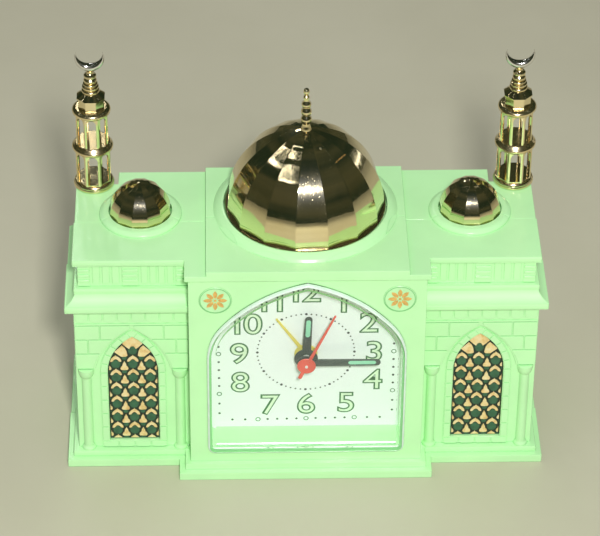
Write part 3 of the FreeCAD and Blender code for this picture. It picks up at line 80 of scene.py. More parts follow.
class Finish:
    def __init__(self, name, **shaderValues):
        self.material = bpy.data.materials.new(name)
        self.material.use_nodes = True
        self.tree = self.material.node_tree
        self.tree.nodes.clear()
        self.output = self.tree.nodes.new("ShaderNodeOutputMaterial")
        self.shader = self.tree.nodes.new("ShaderNodeBsdfPrincipled")
        self.tree.links.new(self.shader.outputs[0], self.output.inputs[0])
        for key, value in shaderValues.items():
            self.shader.inputs[key.replace("_", " ")].default_value = value
        self.place = self.make("ShaderNodeTexCoord", out="Object")

    # any node: its settings first, then the values or links of its sockets
    def make(self, kind, settings=None, sockets=None, out=0):
        node = self.tree.nodes.new(kind)
        for key, value in (settings or {}).items():
            if key == "stops":
                ramp = node.color_ramp
                while len(ramp.elements) < len(value):
                    ramp.elements.new(0.5)
                for element, (position, colour) in zip(ramp.elements, value):
                    element.position = position
                    element.color = (*colour, 1.0)
            else:
                setattr(node, key, value)
        for key, value in (sockets or {}).items():
            if isinstance(value, Flow):
                self.tree.links.new(value.socket, node.inputs[key])
            else:
                node.inputs[key].default_value = value
        return Flow(self, node.outputs[out])

    def feed(self, socketName, flow):
        self.tree.links.new(flow.socket, self.shader.inputs[socketName])

    def noise(self, scale, detail=3.0, roughness=0.5, place=None):
        return self.make("ShaderNodeTexNoise", {},
                         {"Vector": place or self.place, "Scale": scale, "Detail": detail,
                          "Roughness": roughness})

    def stretched(self, x, y, z):
        return self.make("ShaderNodeMapping", {}, {"Vector": self.place, "Scale": (x, y, z)})

    def mix(self, factor, colourA, colourB):
        def full(c):
            return c if isinstance(c, Flow) else (*c, 1.0)
        return self.make("ShaderNodeMix", {"data_type": "RGBA"},
                         {0: factor, 6: full(colourA), 7: full(colourB)}, out=2)

    def ramp(self, factor, stops):
        return self.make("ShaderNodeValToRGB", {"stops": stops}, {"Fac": factor})

    def step(self, flow, low, high):
        return self.make("ShaderNodeMapRange", {"interpolation_type": "SMOOTHSTEP"},
                         {"Value": flow, "From Min": low, "From Max": high})

    def bump(self, height, distance, strength=1.0):
        self.feed("Normal", self.make("ShaderNodeBump", {},
                                      {"Height": height, "Distance": distance,
                                       "Strength": strength}))


def mottled(finish, colour, share, scale):
    # a moulded or printed colour that drifts a little, lighter and darker
    light = [min(1.0, c * (1 + share)) for c in colour]
    dark = [c * (1 - share) for c in colour]
    return finish.mix(finish.step(finish.noise(scale, 4.0), 0.3, 0.7), dark, light)


# finishes
# the mint's groove colour, with its reach and share, is painted shade that the occlusion mask lays into
# hollows
mintPlastic = {"colour": (0.535, 0.94, 0.48), "shade": (0.45, 0.88, 0.40), "drift": 0.03,
               "groove": (0.20, 0.60, 0.22), "paintedShadeReach": 0.0009, "paintedShadeShare": 0.7,
               "grainScale": 2600.0, "grain": 0.00001, "rough": 0.21,
               "cove": (0.0876, 0.0884, 0.0916, 0.0922), "coveSatin": 0.34}


def makeMintPlastic():
    f = Finish("mintPlastic", IOR=1.52, Subsurface_Weight=0.0)
    patch = f.noise(22.0, 5.0)
    base = mottled(f, mintPlastic["colour"], mintPlastic["drift"], 35.0)
    base = f.mix(f.step(patch, 0.55, 0.85) * 0.25, base, mintPlastic["shade"])
    # painted shade: grooves and inner corners, found by an occlusion mask, are drawn a little darker to
    # stand in for the shade that falls in them
    shadeOpenness = f.make("ShaderNodeAmbientOcclusion", {"samples": 6},
                      {"Distance": mintPlastic["paintedShadeReach"]}, out="AO")
    f.feed("Base Color", f.mix((1.0 - f.step(shadeOpenness, 0.2, 0.8)) * mintPlastic["paintedShadeShare"], base,
                               mintPlastic["groove"]))
    smear = f.noise(90.0, 6.0, 0.6, f.stretched(1.0, 1.0, 0.35))
    # the hollow moulding of the wings is satin, so it holds no sharp highlight
    z = f.make("ShaderNodeSeparateXYZ", {}, {"Vector": f.place}, out="Z")
    x = f.make("ShaderNodeSeparateXYZ", {}, {"Vector": f.place}, out="X")
    low0, low1, high0, high1 = mintPlastic["cove"]
    cove = f.step(z, low0, low1) * (1.0 - f.step(z, high0, high1)) * x.math("ABSOLUTE").math(
        "GREATER_THAN", 0.0502)
    f.feed("Roughness", mintPlastic["rough"] + (smear - 0.5) * 0.16
           + cove * mintPlastic["coveSatin"])
    grain = f.noise(mintPlastic["grainScale"], 2.0)
    swirl = f.noise(60.0, 3.0)
    f.bump(grain + swirl * 8.0, mintPlastic["grain"])
    return f.material


goldPlate = {"colour": (0.93, 0.80, 0.50), "deep": (0.84, 0.68, 0.36), "rough": 0.06}


def makeGoldPlate(name="goldPlate", colour=goldPlate["colour"], deep=goldPlate["deep"],
                  rough=goldPlate["rough"]):
    f = Finish(name, Metallic=1.0, Coat_Weight=0.5, Coat_Roughness=0.3)
    cloud = f.noise(70.0, 5.0)
    f.feed("Base Color", f.mix(f.step(cloud, 0.35, 0.75) * 0.6, colour, deep))
    smear = f.noise(240.0, 6.0, 0.65, f.stretched(1.0, 1.0, 0.4))
    specks = f.step(f.noise(1500.0, 2.0), 0.66, 0.74)
    f.feed("Roughness", rough + f.step(smear, 0.45, 0.8) * 0.08 + specks * 0.18)
    f.bump(f.noise(110.0, 3.0) + f.noise(900.0, 2.0) * 0.04, 0.00009, 0.55)
    return f.material


def makeClearAcrylic():
    f = Finish("clearAcrylic", IOR=1.49, Transmission_Weight=1.0, Roughness=0.02)
    f.feed("Base Color", f.mix(f.noise(40.0) * 0.2, (0.97, 1.0, 0.985), (0.92, 0.98, 0.95)))
    scuff = f.step(f.noise(1400.0, 3.0, 0.6, f.stretched(1.0, 1.0, 0.08)), 0.66, 0.8)
    f.feed("Roughness", 0.015 + scuff * 0.07)
    # the dial is lit straight through the cover, and only the view is bent by it
    shadow = f.make("ShaderNodeLightPath", out="Is Shadow Ray")
    diffuse = f.make("ShaderNodeLightPath", out="Is Diffuse Ray")
    ray = shadow.math("ADD", diffuse, clamp=True)
    clear = f.make("ShaderNodeBsdfTransparent", {}, {"Color": (0.96, 0.99, 0.97, 1.0)})
    both = f.tree.nodes.new("ShaderNodeMixShader")
    f.tree.links.new(ray.socket, both.inputs[0])
    f.tree.links.new(f.shader.outputs[0], both.inputs[1])
    f.tree.links.new(clear.socket, both.inputs[2])
    f.tree.links.new(both.outputs[0], f.output.inputs[0])
    return f.material


def makePaint(name, colour, rough=0.4, drift=0.06, scale=180.0, grain=0.00002, grainScale=1800.0,
              metallic=0.0, coat=0.0):
    f = Finish(name, Metallic=metallic, Coat_Weight=coat)
    f.feed("Base Color", mottled(f, colour, drift, scale))
    f.feed("Roughness", rough + (f.noise(scale * 3.0, 5.0) - 0.5) * 0.2)
    f.bump(f.noise(grainScale, 3.0), grain)
    return f.material


def makeCard():
    # printed card: white stock with short fibres and a faint cool cast
    f = Finish("dialCard")
    fibre = f.noise(900.0, 6.0, 0.7, f.stretched(1.0, 1.0, 4.0))
    f.feed("Base Color", f.mix(f.step(fibre, 0.35, 0.7), (0.93, 0.95, 0.97), (0.97, 0.98, 1.0)))
    f.feed("Roughness", 0.45 + fibre * 0.2)
    f.bump(fibre, 0.00001)
    return f.material


def makeFoil():
    # pale gold foil pressed over a lattice, a little uneven
    f = Finish("goldFoil", Metallic=0.35)
    cloud = f.noise(420.0, 6.0, 0.6)
    f.feed("Base Color", f.ramp(cloud, [(0.3, (0.80, 0.52, 0.20)), (0.5, (0.96, 0.74, 0.37)),
                                        (0.7, (1.0, 0.86, 0.55))]))
    f.feed("Roughness", 0.30 + f.noise(900.0, 4.0) * 0.22)
    f.bump(f.noise(1300.0, 4.0), 0.00012, 0.6)
    return f.material


def makeBrushed(name, colour, rough=0.3):
    f = Finish(name, Metallic=1.0)
    line = f.noise(500.0, 4.0, 0.6, f.stretched(1.0, 0.05, 1.0))
    f.feed("Base Color", f.mix(line, [c * 0.85 for c in colour], colour))
    f.feed("Roughness", rough + (line - 0.5) * 0.25)
    f.bump(line, 0.00001)
    return f.material


def makeTile():
    f = Finish("floorTile", IOR=1.45)
    cloud = f.noise(5.0, 6.0, 0.55)
    f.feed("Base Color", f.mix(f.step(cloud, 0.3, 0.7), (0.53, 0.515, 0.385), (0.58, 0.565, 0.43)))
    f.feed("Roughness", 0.42 + f.noise(12.0, 4.0) * 0.16)
    f.bump(f.noise(60.0, 5.0), 0.0001)
    return f.material


mint = makeMintPlastic()
gold = makeGoldPlate()
satinGold = makeGoldPlate("satinGold", (0.97, 0.82, 0.50), (0.93, 0.70, 0.34), 0.20)
silver = makeGoldPlate("silverPlate", (0.78, 0.76, 0.74), (0.62, 0.60, 0.58), 0.08)
acrylic = makeClearAcrylic()
card = makeCard()
foil = makeFoil()
deepGreen = makePaint("deepGreen", (0.035, 0.125, 0.062), 0.34, 0.18, 500.0, 0.00005)
outlineBlack = makePaint("outlineBlack", (0.012, 0.030, 0.018), 0.35, 0.1)
printGreen = makePaint("printGreen", (0.030, 0.15, 0.045), 0.5)
printPale = makePaint("printPale", (0.80, 0.93, 0.72), 0.5)
printBlack = makePaint("printBlack", (0.03, 0.035, 0.04), 0.5)
handDark = makePaint("handDark", (0.055, 0.075, 0.070), 0.38, 0.15)
handMint = makePaint("handMint", (0.32, 0.72, 0.50), 0.55)
handYellow = makePaint("handYellow", (0.80, 0.64, 0.13), 0.38)
handRed = makePaint("handRed", (0.80, 0.10, 0.07), 0.42)
medalMint = makePaint("medalMint", (0.52, 0.90, 0.47), 0.3, 0.04)
medalLine = makePaint("medalLine", (0.24, 0.62, 0.24), 0.4)
medalGold = makePaint("medalGold", (0.78, 0.48, 0.14), 0.32, 0.15, 700.0, metallic=0.3)
steel = makeBrushed("steel", (0.62, 0.62, 0.63))
copper = makeBrushed("copper", (0.72, 0.36, 0.18), 0.35)
blackPlastic = makePaint("blackPlastic", (0.025, 0.025, 0.028), 0.42, 0.2, 300.0, 0.00004)
whitePlastic = makePaint("whitePlastic", (0.80, 0.80, 0.76), 0.38)
boardGreen = makePaint("boardGreen", (0.04, 0.20, 0.08), 0.35)
cellBlue = makePaint("cellBlue", (0.05, 0.12, 0.34), 0.25, 0.1, 60.0)
paperBlack = makePaint("paperBlack", (0.05, 0.05, 0.05), 0.85, 0.3, 900.0, 0.00008)
# painted highlight: an opaque pale finish for the strip that stands in for the bright edge of the clear
# cover
rimPaintedHighlight = makePaint("rimPaintedHighlight", (0.78, 0.92, 0.84), 0.18, coat=0.6)
rubber = makePaint("rubber", (0.03, 0.03, 0.03), 0.7, 0.2, 600.0, 0.00005)
tile = makeTile()
print("finishes made")

slotFinish = {
    "mint_plastic": mint, "clear_acrylic": acrylic, "gold_plated": gold, "silver_plated": silver,
    "green_enamel": deepGreen, "dial_card": card, "medal_face": medalMint, "steel": steel,
    "dark_hand": handDark, "red_hand": handRed, "yellow_hand": handYellow,
    "black_plastic": blackPlastic, "white_plastic": whitePlastic, "copper": copper,
    "circuit_card": boardGreen, "component_black": blackPlastic, "cell_jacket": cellBlue,
    "speaker_paper": paperBlack, "rubber": rubber,
}
slotOf = {part["node"]: part["material_slot"] for part in frame["record"]["subparts"]}


# mesh helpers
def at(x, y, z):
    return Vector((x, y, z)) * mm


def softShade(bm, angle):
    for face in bm.faces:
        face.smooth = True
    for edge in bm.edges:
        edge.smooth = len(edge.link_faces) == 2 and edge.calc_face_angle(0.0) < math.radians(angle)


def settle(bm, name, body, slotName, *finishes, angle=35.0, weighted=True, outward=True):
    # one finished piece: shaded, given its finishes, and riding on its body
    if outward:
        bmesh.ops.recalc_face_normals(bm, faces=bm.faces)
    softShade(bm, angle)
    mesh = bpy.data.meshes.new(name)
    bm.to_mesh(mesh)
    bm.free()
    piece = bpy.data.objects.new(name, mesh)
    bpy.context.scene.collection.objects.link(piece)
    for finish in finishes:
        mesh.materials.append(finish)
    if weighted:
        piece.modifiers.new("evenShade", "WEIGHTED_NORMAL").keep_sharp = True
    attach(piece, body)
    return piece


def roomy(edge, size):
    # true where both faces are wide enough beside the edge for a rounding of this size
    along = (edge.verts[1].co - edge.verts[0].co).normalized()
    for loop in edge.link_loops:
        for near in (loop.link_loop_prev.edge, loop.link_loop_next.edge):
            other = near.verts[1].co - near.verts[0].co
            if other.cross(along).length < size and abs(other.dot(along)) < 2 * other.cross(along).length:
                return False
    return True


def sharpEdges(bm, degrees=30.0, convexOnly=False, room=0.0, chosen=None):
    return [e for e in bm.edges if len(e.link_faces) == 2
            and e.calc_face_angle(0.0) > math.radians(degrees)
            and (e.is_convex or not convexOnly) and (not room or roomy(e, room))
            and (chosen is None or chosen(e))]


def roundEdges(bm, size, segments=2, degrees=30.0, convexOnly=False, clamp=True, room=0.0, chosen=None):
    edges = sharpEdges(bm, degrees, convexOnly, room * mm, chosen)
    bmesh.ops.bevel(bm, geom=edges, offset=size * mm,
                    offset_type="OFFSET", segments=segments, profile=0.5, affect="EDGES",
                    material=-1, clamp_overlap=clamp)


def slab(bm, x0, x1, y0, y1, z0, z1):
    size = Matrix.Diagonal((abs(x1 - x0) * mm, abs(y1 - y0) * mm, abs(z1 - z0) * mm, 1.0))
    middle = Matrix.Translation(at((x0 + x1) / 2, (y0 + y1) / 2, (z0 + z1) / 2))
    bmesh.ops.create_cube(bm, size=1.0, matrix=middle @ size)


def plank(bm, outline, y0, y1):
    # a flat piece facing the front, from its outline in x and z
    bottom = bm.faces.new([bm.verts.new(at(x, y1, z)) for x, z in outline])
    grown = bmesh.ops.extrude_face_region(bm, geom=[bottom])
    tops = [g for g in grown["geom"] if isinstance(g, bmesh.types.BMVert)]
    bmesh.ops.translate(bm, verts=tops, vec=at(0, y0 - y1, 0))


def turned(bm, profile, x, y, steps=48, startAngle=0.0):
    # a turned shape from (radius, height) pairs
    verts = [bm.verts.new(at(x, y, z) + Vector((math.sin(startAngle), -math.cos(startAngle), 0))
                          * r * mm) for r, z in profile]
    edges = [bm.edges.new(pair) for pair in zip(verts, verts[1:])]
    bmesh.ops.spin(bm, geom=verts + edges, cent=at(x, y, 0), axis=(0, 0, 1),
                   angle=math.tau, steps=steps, use_merge=True)
    bmesh.ops.remove_doubles(bm, verts=bm.verts, dist=1e-6)


def absorb(bm, other):
    # adds the other mesh's faces to this one
    scratch = bpy.data.meshes.new("scratch")
    other.to_mesh(scratch)
    other.free()
    bm.from_mesh(scratch)
    bpy.data.meshes.remove(scratch)


def layForward(bm, place):
    # a shape turned about the upright axis is laid down to face the front
    bmesh.ops.rotate(bm, verts=bm.verts, cent=(0, 0, 0),
                     matrix=Matrix.Rotation(math.radians(90), 3, "X"))
    bmesh.ops.translate(bm, verts=bm.verts, vec=place)


def cadCopy(node, bevel, finish=None, segments=2, degrees=32.0, name=None, chosen=None):
    # the node's own mesh, merged and cleaned, with its edges rounded
    bm = bmesh.new()
    bm.from_mesh(nodes[node].data)
    bmesh.ops.remove_doubles(bm, verts=bm.verts, dist=2e-6)
    bmesh.ops.dissolve_limit(bm, angle_limit=math.radians(0.6), verts=bm.verts, edges=bm.edges)
    if bevel:
        roundEdges(bm, bevel, segments, degrees, convexOnly=True, clamp=False, room=2.1 * bevel,
                   chosen=chosen)
    slotName = slotOf[node]
    piece = settle(bm, name or node.replace("_", "") + "Soft", bodyOf[node], slotName,
                   finish or slotFinish[slotName], outward=False)
    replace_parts(piece, node)
    return piece


bodyOf = {}
for bodyName, members in frame["record"]["behaviour"]["bodies"].items():
    for member in members:
        bodyOf[member] = bodyName

for nodeName, node in nodes.items():
    node.data.materials.clear()
    node.data.materials.append(slotFinish[slotOf[nodeName]])


def arcPoints(cx, cz, r, startDegrees, endDegrees, count):
    angles = [math.radians(startDegrees + (endDegrees - startDegrees) * i / count)
              for i in range(count + 1)]
    return [(cx + r * math.cos(a), cz + r * math.sin(a)) for a in angles]


# building shells
building = {"edge": 0.36, "wingX": 74.4, "wallY": -29.0, "recessY": -28.1,
            "doorX": (-69.0, -31.0), "doorZ": (20.5, 84.5), "doorY": 31.0}


def offDoor(edge):
    # the tight corners round the battery opening stay crisp
    return not all(building["doorX"][0] < v.co.x / mm < building["doorX"][1]
                   and building["doorZ"][0] < v.co.z / mm < building["doorZ"][1]
                   and v.co.y / mm > building["doorY"] for v in edge.verts)


cadCopy("front_case", building["edge"], name="frontShell")
cadCopy("rear_case", building["edge"], name="rearShell", chosen=offDoor)
print("shells rounded")

# wing window: opening, frame stones, arch and lattice share these curves
window = {"half": 10.8, "foot": 10.4, "spring": 49.1, "r": 22.9, "band": 3.3,
          "archHalf": 16.1, "archFoot": 51.7, "archTop": 73.5}


def pointed(half, foot, spring, r, count=14):
    # outline of a two-centred arch on straight jambs, from the lower right, anticlockwise
    top = math.degrees(math.acos((r - half) / r))
    right = arcPoints(half - r, spring, r, 0, top, count)
    left = [(-x, z) for x, z in reversed(right[:-1])]
    return [(half, foot)] + right + left + [(-half, foot)]


def wingSide(bm, side):
    # builds are made for a window at x = 0 and then moved to their wing
    bmesh.ops.translate(bm, verts=bm.verts, vec=at(side * window["x"], 0, 0))


window["x"] = building["wingX"]
bricks = {"proud": 0.5, "groove": 0.6, "round": 0.28, "inner": -23.9, "outer": 24.2,
          "courses": [(52.0, 60.0), (60.4, 67.7), (68.1, 75.4)], "joints": [None, 18.8, 13.6],
          "tabs": 8, "tabTop": 84.4, "tabFoot": 77.6}


def archEdge(z):
    # half width of the spandrel arch at a height
    half, rise = window["archHalf"], window["archTop"] - window["archFoot"]
    r = 33.0
    chord = math.hypot(half, rise)
    back = math.sqrt(r * r - chord * chord / 4)
    cx = half / 2 - back * rise / chord
    cz = window["archFoot"] + rise / 2 - back * half / chord
    inside = r * r - (z - cz) ** 2
    return max(0.0, cx + math.sqrt(inside)) if z < window["archTop"] else 0.0


def wallBricks(side):
    bm = bmesh.new()
    y1 = building["wallY"] + 0.1
    y0 = building["wallY"] - bricks["proud"]
    for (z0, z1), joint in zip(bricks["courses"], bricks["joints"]):
        for s in (-1, 1):
            end = bricks["outer"] if s * side > 0 else -bricks["inner"]
            levels = [z0 + (z1 - z0) * i / 6 for i in range(7)]
            curve = [(s * (archEdge(z) + 0.9), z) for z in levels]
            if joint is None:
                plank(bm, curve + [(s * end, z1), (s * end, z0)], y0, y1)
                continue
            g = bricks["groove"] / 2
            plank(bm, curve + [(s * (joint - g), z1), (s * (joint - g), z0)], y0, y1)
            plank(bm, [(s * (joint + g), z0), (s * (joint + g), z1), (s * end, z1),
                       (s * end, z0)], y0, y1)
    low = bricks["courses"][-1][1] + 0.5
    inner, outer = (bricks["inner"], bricks["outer"]) if side > 0 else (-bricks["outer"],
                                                                       -bricks["inner"])
    count = bricks["tabs"]
    pitch = (outer - inner) / count
    for i in range(count):
        left = inner + i * pitch + 0.3
        right = left + pitch - 0.6
        r = (right - left) / 2
        foot = arcPoints((left + right) / 2, bricks["tabFoot"] + 0.7 * r, r, 180, 360, 8)
        foot = [(x, bricks["tabFoot"] + (z - bricks["tabFoot"]) * 0.7 + 0.1) for x, z in foot]
        plank(bm, foot + [(right, bricks["tabTop"]), (left, bricks["tabTop"])], y0 + 0.1, y1)
    plank(bm, [(inner, low - 0.2), (outer, low - 0.2), (outer, low + 0.6), (inner, low + 0.6)],
          y0, y1)
    bmesh.ops.recalc_face_normals(bm, faces=bm.faces)
    roundEdges(bm, bricks["round"], 2, 40.0)
    wingSide(bm, side)
    return settle(bm, "wallBricks" + ("Right" if side > 0 else "Left"), "case", "mint_plastic", mint)


stones = {"proud": 0.42, "groove": 0.5, "pitch": 7.4, "round": 0.24}


def frameStones(side):
    bm = bmesh.new()
    y1 = building["recessY"] - 0.3
    y0 = building["recessY"] - 0.4 - stones["proud"]
    half, r, spring = window["half"], window["r"], window["spring"]
    inner, outer = half + 0.35, half + window["band"] - 0.25
    g = stones["groove"] / 2
    for s in (-1, 1):
        z = spring - g
        while z > window["foot"] + 0.5:
            low = max(z - stones["pitch"], window["foot"] + g)
            plank(bm, [(s * inner, low + g), (s * outer, low + g), (s * outer, z), (s * inner, z)],
                  y0, y1)
            z = low - g
        top = math.degrees(math.acos((r - half) / r))
        count = 5
        for i in range(count):
            a0 = top * i / count + 0.5
            a1 = top * (i + 1) / count - (0.5 if i < count - 1 else 1.6)
            near = arcPoints(half - r, spring, r + 0.35, a0, a1, 4)
            far = arcPoints(half - r, spring, r + window["band"] - 0.25, a1, a0, 4)
            plank(bm, [(s * x, z) for x, z in near + far], y0, y1)
    count = 4
    wide = 2 * (half + window["band"]) / count
    for i in range(count):
        left = -half - window["band"] + i * wide + g
        right = left + wide - 2 * g
        z1, z0 = window["foot"] - g, 7.0
        plank(bm, [(left, z1), (left, z0 + 0.9), (left + 1.0, z0 + 0.15), (right - 1.0, z0 + 0.15),
                   (right, z0 + 0.9), (right, z1)], y0, y1)
    bmesh.ops.recalc_face_normals(bm, faces=bm.faces)
    roundEdges(bm, stones["round"], 2, 40.0)
    wingSide(bm, side)
    return settle(bm, "frameStones" + ("Right" if side > 0 else "Left"), "case", "mint_plastic", mint)


column = {"offset": 20.1, "profile": [(0, 6.8), (3.0, 6.8), (3.0, 7.6), (2.5, 8.3), (2.15, 8.9),
                                      (2.12, 27.0), (2.1, 46.6), (2.3, 47.0), (2.9, 47.8),
                                      (3.25, 48.9), (3.42, 50.2), (3.45, 51.6), (0, 51.6)]}


def columns(side):
    bm = bmesh.new()
    for s in (-1, 1):
        one = bmesh.new()
        turned(one, column["profile"], s * column["offset"], building["recessY"], 32)
        # only the half in front of the wall
        bmesh.ops.bisect_plane(one, geom=one.verts[:] + one.edges[:] + one.faces[:], dist=1e-7,
                               plane_co=at(0, building["recessY"] + 0.2, 0), plane_no=(0, 1, 0),
                               clear_outer=True)
        bmesh.ops.contextual_create(one, geom=[e for e in one.edges if e.is_boundary])
        absorb(bm, one)
    wingSide(bm, side)
    return settle(bm, "columns" + ("Right" if side > 0 else "Left"), "case", "mint_plastic", mint)


frieze = {"wallY": -26.3, "bars": [103.4, 100.7, 98.0], "barHigh": 1.25, "barOut": 1.0,
          "reedPitch": 3.3, "reedOut": 0.5, "z0": 95.6, "z1": 106.4, "centreHalf": 3.2,
          "endWide": 4.6, "outer": 21.9, "inner": -24.3, "innerWide": 4.9, "gap": 0.9,
          "backOut": 0.45, "round": 0.38}


def friezeRelief(side):
    bm = bmesh.new()
    wallY = frieze["wallY"] + 0.1
    inner, ends = frieze["inner"], frieze["inner"] + frieze["innerWide"]
    spans = [(-frieze["centreHalf"], frieze["centreHalf"]),
             (frieze["outer"] - frieze["endWide"], frieze["outer"]), (inner, ends)]
    for x0, x1 in spans:
        for z in frieze["bars"]:
            slab(bm, x0, x1, wallY, wallY - 0.1 - frieze["barOut"], z - frieze["barHigh"] / 2,
                 z + frieze["barHigh"] / 2)
        slab(bm, x0 - 0.3, x1 + 0.3, wallY, wallY - frieze["backOut"], 95.0, frieze["z1"])
    gap = frieze["gap"]
    for x0, x1 in ((ends + 0.7, -frieze["centreHalf"] - gap),
                   (frieze["centreHalf"] + gap, frieze["outer"] - frieze["endWide"] - gap)):
        count = int((x1 - x0) / frieze["reedPitch"])
        pitch = (x1 - x0) / count
        for i in range(count):
            x = x0 + (i + 0.5) * pitch
            slab(bm, x - 0.36 * pitch, x + 0.36 * pitch, wallY, wallY - 0.1 - frieze["reedOut"],
                 frieze["z0"] + 0.6, frieze["z1"] - 0.6)
    roundEdges(bm, frieze["round"], 3, 40.0)
    bmesh.ops.scale(bm, verts=bm.verts, vec=(side, 1, 1))
    wingSide(bm, side)
    return settle(bm, "friezeRelief" + ("Right" if side > 0 else "Left"), "case", "mint_plastic",
                  mint)


moulding = {
    # rounded noses over the wings' mouldings: outer x, front y, foot z and top z
    "inner": 50.2, "back": -1.7, "proud": 0.15, "round": 0.85,
    "noses": [(98.4, -28.5, 92.3, 94.8), (102.4, -32.5, 84.6, 87.7), (98.6, -28.7, 107.0, 109.9),
              (101.2, -31.3, 4.0, 6.9)],
}


def mouldingNoses(side):
    bm = bmesh.new()
    for outer, front, z0, z1 in moulding["noses"]:
        x1, y0, one = outer + moulding["proud"], front - moulding["proud"], bmesh.new()
        slab(one, moulding["inner"], x1, y0, moulding["back"], z0 + 0.03, z1 - 0.03)

        def outside(edge, x1=x1, y0=y0):
            ends = [(v.co.x / mm, v.co.y / mm) for v in edge.verts]
            onFront = all(abs(y - y0) < 0.01 for x, y in ends)
            onEnd = all(abs(x - x1) < 0.01 for x, y in ends)
            return ((onFront or onEnd) and not all(abs(y - moulding["back"]) < 0.01 for x, y in ends)
                    and not all(abs(x - moulding["inner"]) < 0.01 for x, y in ends))

        roundEdges(one, moulding["round"], 4, 40.0, chosen=outside)
        absorb(bm, one)
    bmesh.ops.scale(bm, verts=bm.verts, vec=(side, 1, 1))
    return settle(bm, "mouldingNoses" + ("Right" if side > 0 else "Left"), "case", "mint_plastic",
                  mint)


for side in (-1, 1):
    mouldingNoses(side)
    wallBricks(side)
    frameStones(side)
    columns(side)
    friezeRelief(side)
print("wing reliefs made")

# lattice: dark panel, raised green hexagons and gold pieces, clipped by the arch
lattice = {"pitchX": 7.35, "pitchZ": 7.47, "first": 15.2, "panelY": -27.1}


def clipArch(bm, inset):
    # cut everything outside the arch away, one plane for each piece of its outline
    outline = pointed(window["half"] - inset, window["foot"] + inset, window["spring"],
                      window["r"] - inset, 9)
    for (x0, z0), (x1, z1) in zip(outline, outline[1:] + outline[:1]):
        outward = Vector((z1 - z0, 0, x0 - x1)).normalized()
        cut = bmesh.ops.bisect_plane(bm, geom=bm.verts[:] + bm.edges[:] + bm.faces[:], dist=1e-8,
                                     plane_co=at(x0, 0, z0), plane_no=outward, clear_outer=True)
        rim = [e for e in cut["geom_cut"] if isinstance(e, bmesh.types.BMEdge)]
        bmesh.ops.holes_fill(bm, edges=[e for e in rim if e.is_boundary], sides=0)


def both(half, x, z):
    # a piece's right half, mirrored and placed
    full = half + [(-u, v) for u, v in reversed(half) if u > 0]
    return [(x + u, z + v) for u, v in full]


latticeShapes = {
    # right halves, in mm from the middle of each hexagon
    "hexagon": [(0, -2.35), (1.15, -1.95), (1.95, -0.7), (1.95, 0.65), (1.2, 1.55), (0.45, 1.95),
                (0, 2.3)],
    "small": [(0, 2.25), (0.75, 2.45), (1.15, 3.2), (0.75, 3.95), (0, 4.1)],
    "chevron": [(0, 2.85), (0.75, 2.4), (1.35, 1.55), (2.05, 1.25), (2.45, 1.6), (2.2, 2.6),
                (1.55, 3.45), (0.8, 4.1), (0.35, 4.35), (0, 4.9)],
    "bell": [(0, -3.35), (1.35, -3.25), (1.75, -2.6), (1.5, -1.7), (0.85, -0.95), (0.8, -0.35),
             (0.62, 0.35), (0.35, 0.75), (0, 1.6)],
    "crown": [(0, 62.5), (0.75, 62.2), (1.45, 60.9), (2.6, 61.9), (4.35, 63.75), (0, 70.0)],
}
latticeShoulder = [(4.55, 62.75), (3.3, 61.4), (2.6, 59.6), (2.2, 57.2), (2.9, 56.7), (4.9, 56.6),
                   (7.9, 59.3)]


def latticePieces(side):
    label = "Right" if side > 0 else "Left"
    shapes = latticeShapes
    back = bmesh.new()
    plank(back, pointed(window["half"] - 0.15, window["foot"] + 0.15, window["spring"],
                        window["r"] - 0.15), lattice["panelY"] + 0.25, lattice["panelY"] + 1.2)
    bmesh.ops.recalc_face_normals(back, faces=back.faces)
    wingSide(back, side)
    panel = settle(back, "latticePanel" + label, "case", "green_enamel", outlineBlack)
    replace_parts(panel, "window_panel_" + label.lower(), "window_grille_" + label.lower())

    y0, y1 = lattice["panelY"] - 0.05, lattice["panelY"] + 0.4
    greens, golds = bmesh.new(), bmesh.new()
    for row in range(-1, 7):
        z = lattice["first"] + row * lattice["pitchZ"]
        for c in (-1, 0, 1):
            x = c * lattice["pitchX"]
            if row < 6 or c == 0:
                plank(greens, both(shapes["hexagon"], x, z), y0 + 0.15, y1)
            if row < 6:
                plank(golds, both(shapes["chevron"], x, z), y0, y1)
        for c in (-1.5, -0.5, 0.5, 1.5):
            x = c * lattice["pitchX"]
            if row < 6:
                plank(golds, both(shapes["bell"], x, z), y0, y1)
                plank(greens, both(shapes["small"], x, z), y0 + 0.15, y1)
    # crown of the arch: a kite at the apex and a shoulder on each side of it
    plank(golds, both(shapes["crown"], 0, 0), y0, y1)
    for s in (-1, 1):
        plank(golds, [(s * u, v) for u, v in latticeShoulder], y0, y1)
    for part in (greens, golds):
        bmesh.ops.recalc_face_normals(part, faces=part.faces)
        clipArch(part, 0.5)
        bmesh.ops.dissolve_degenerate(part, dist=1e-6, edges=part.edges)
        bmesh.ops.recalc_face_normals(part, faces=part.faces)
        roundEdges(part, 0.14, 2, 40.0)
        wingSide(part, side)
    settle(greens, "latticeHexes" + label, "case", "green_enamel", deepGreen)
    settle(golds, "latticeGold" + label, "case", "gold_plated", foil)


for side in (-1, 1):
    latticePieces(side)
print("window lattices made")

# domes: flat gores on an ogive profile
bigDome = {"y": 5.0, "baseZ": 114.0, "cornerR": 33.7, "arcR": 39.9, "wall": 1.8,
           "gores": 15, "phase": 15.3, "lipOut": 0.6, "lipHigh": 0.6, "band": 0.0,
           "topR": 2.45, "round": 0.22}
smallDome = {"y": 4.2, "baseZ": 110.9, "cornerR": 13.3, "arcR": 15.8, "wall": 1.4, "gores": 12,
             "phase": 15.0, "lipOut": 0.0, "lipHigh": 0.0, "band": 1.0, "topR": 0.0, "round": 0.14}


def ogive(cornerR, arcR, topR, levels):
    # (radius, height) from the base to the top
    shift = arcR - cornerR
    topAngle = math.acos((topR + shift) / arcR)
    return [(arcR * math.cos(topAngle * i / levels) - shift, arcR * math.sin(topAngle * i / levels))
            for i in range(levels + 1)]


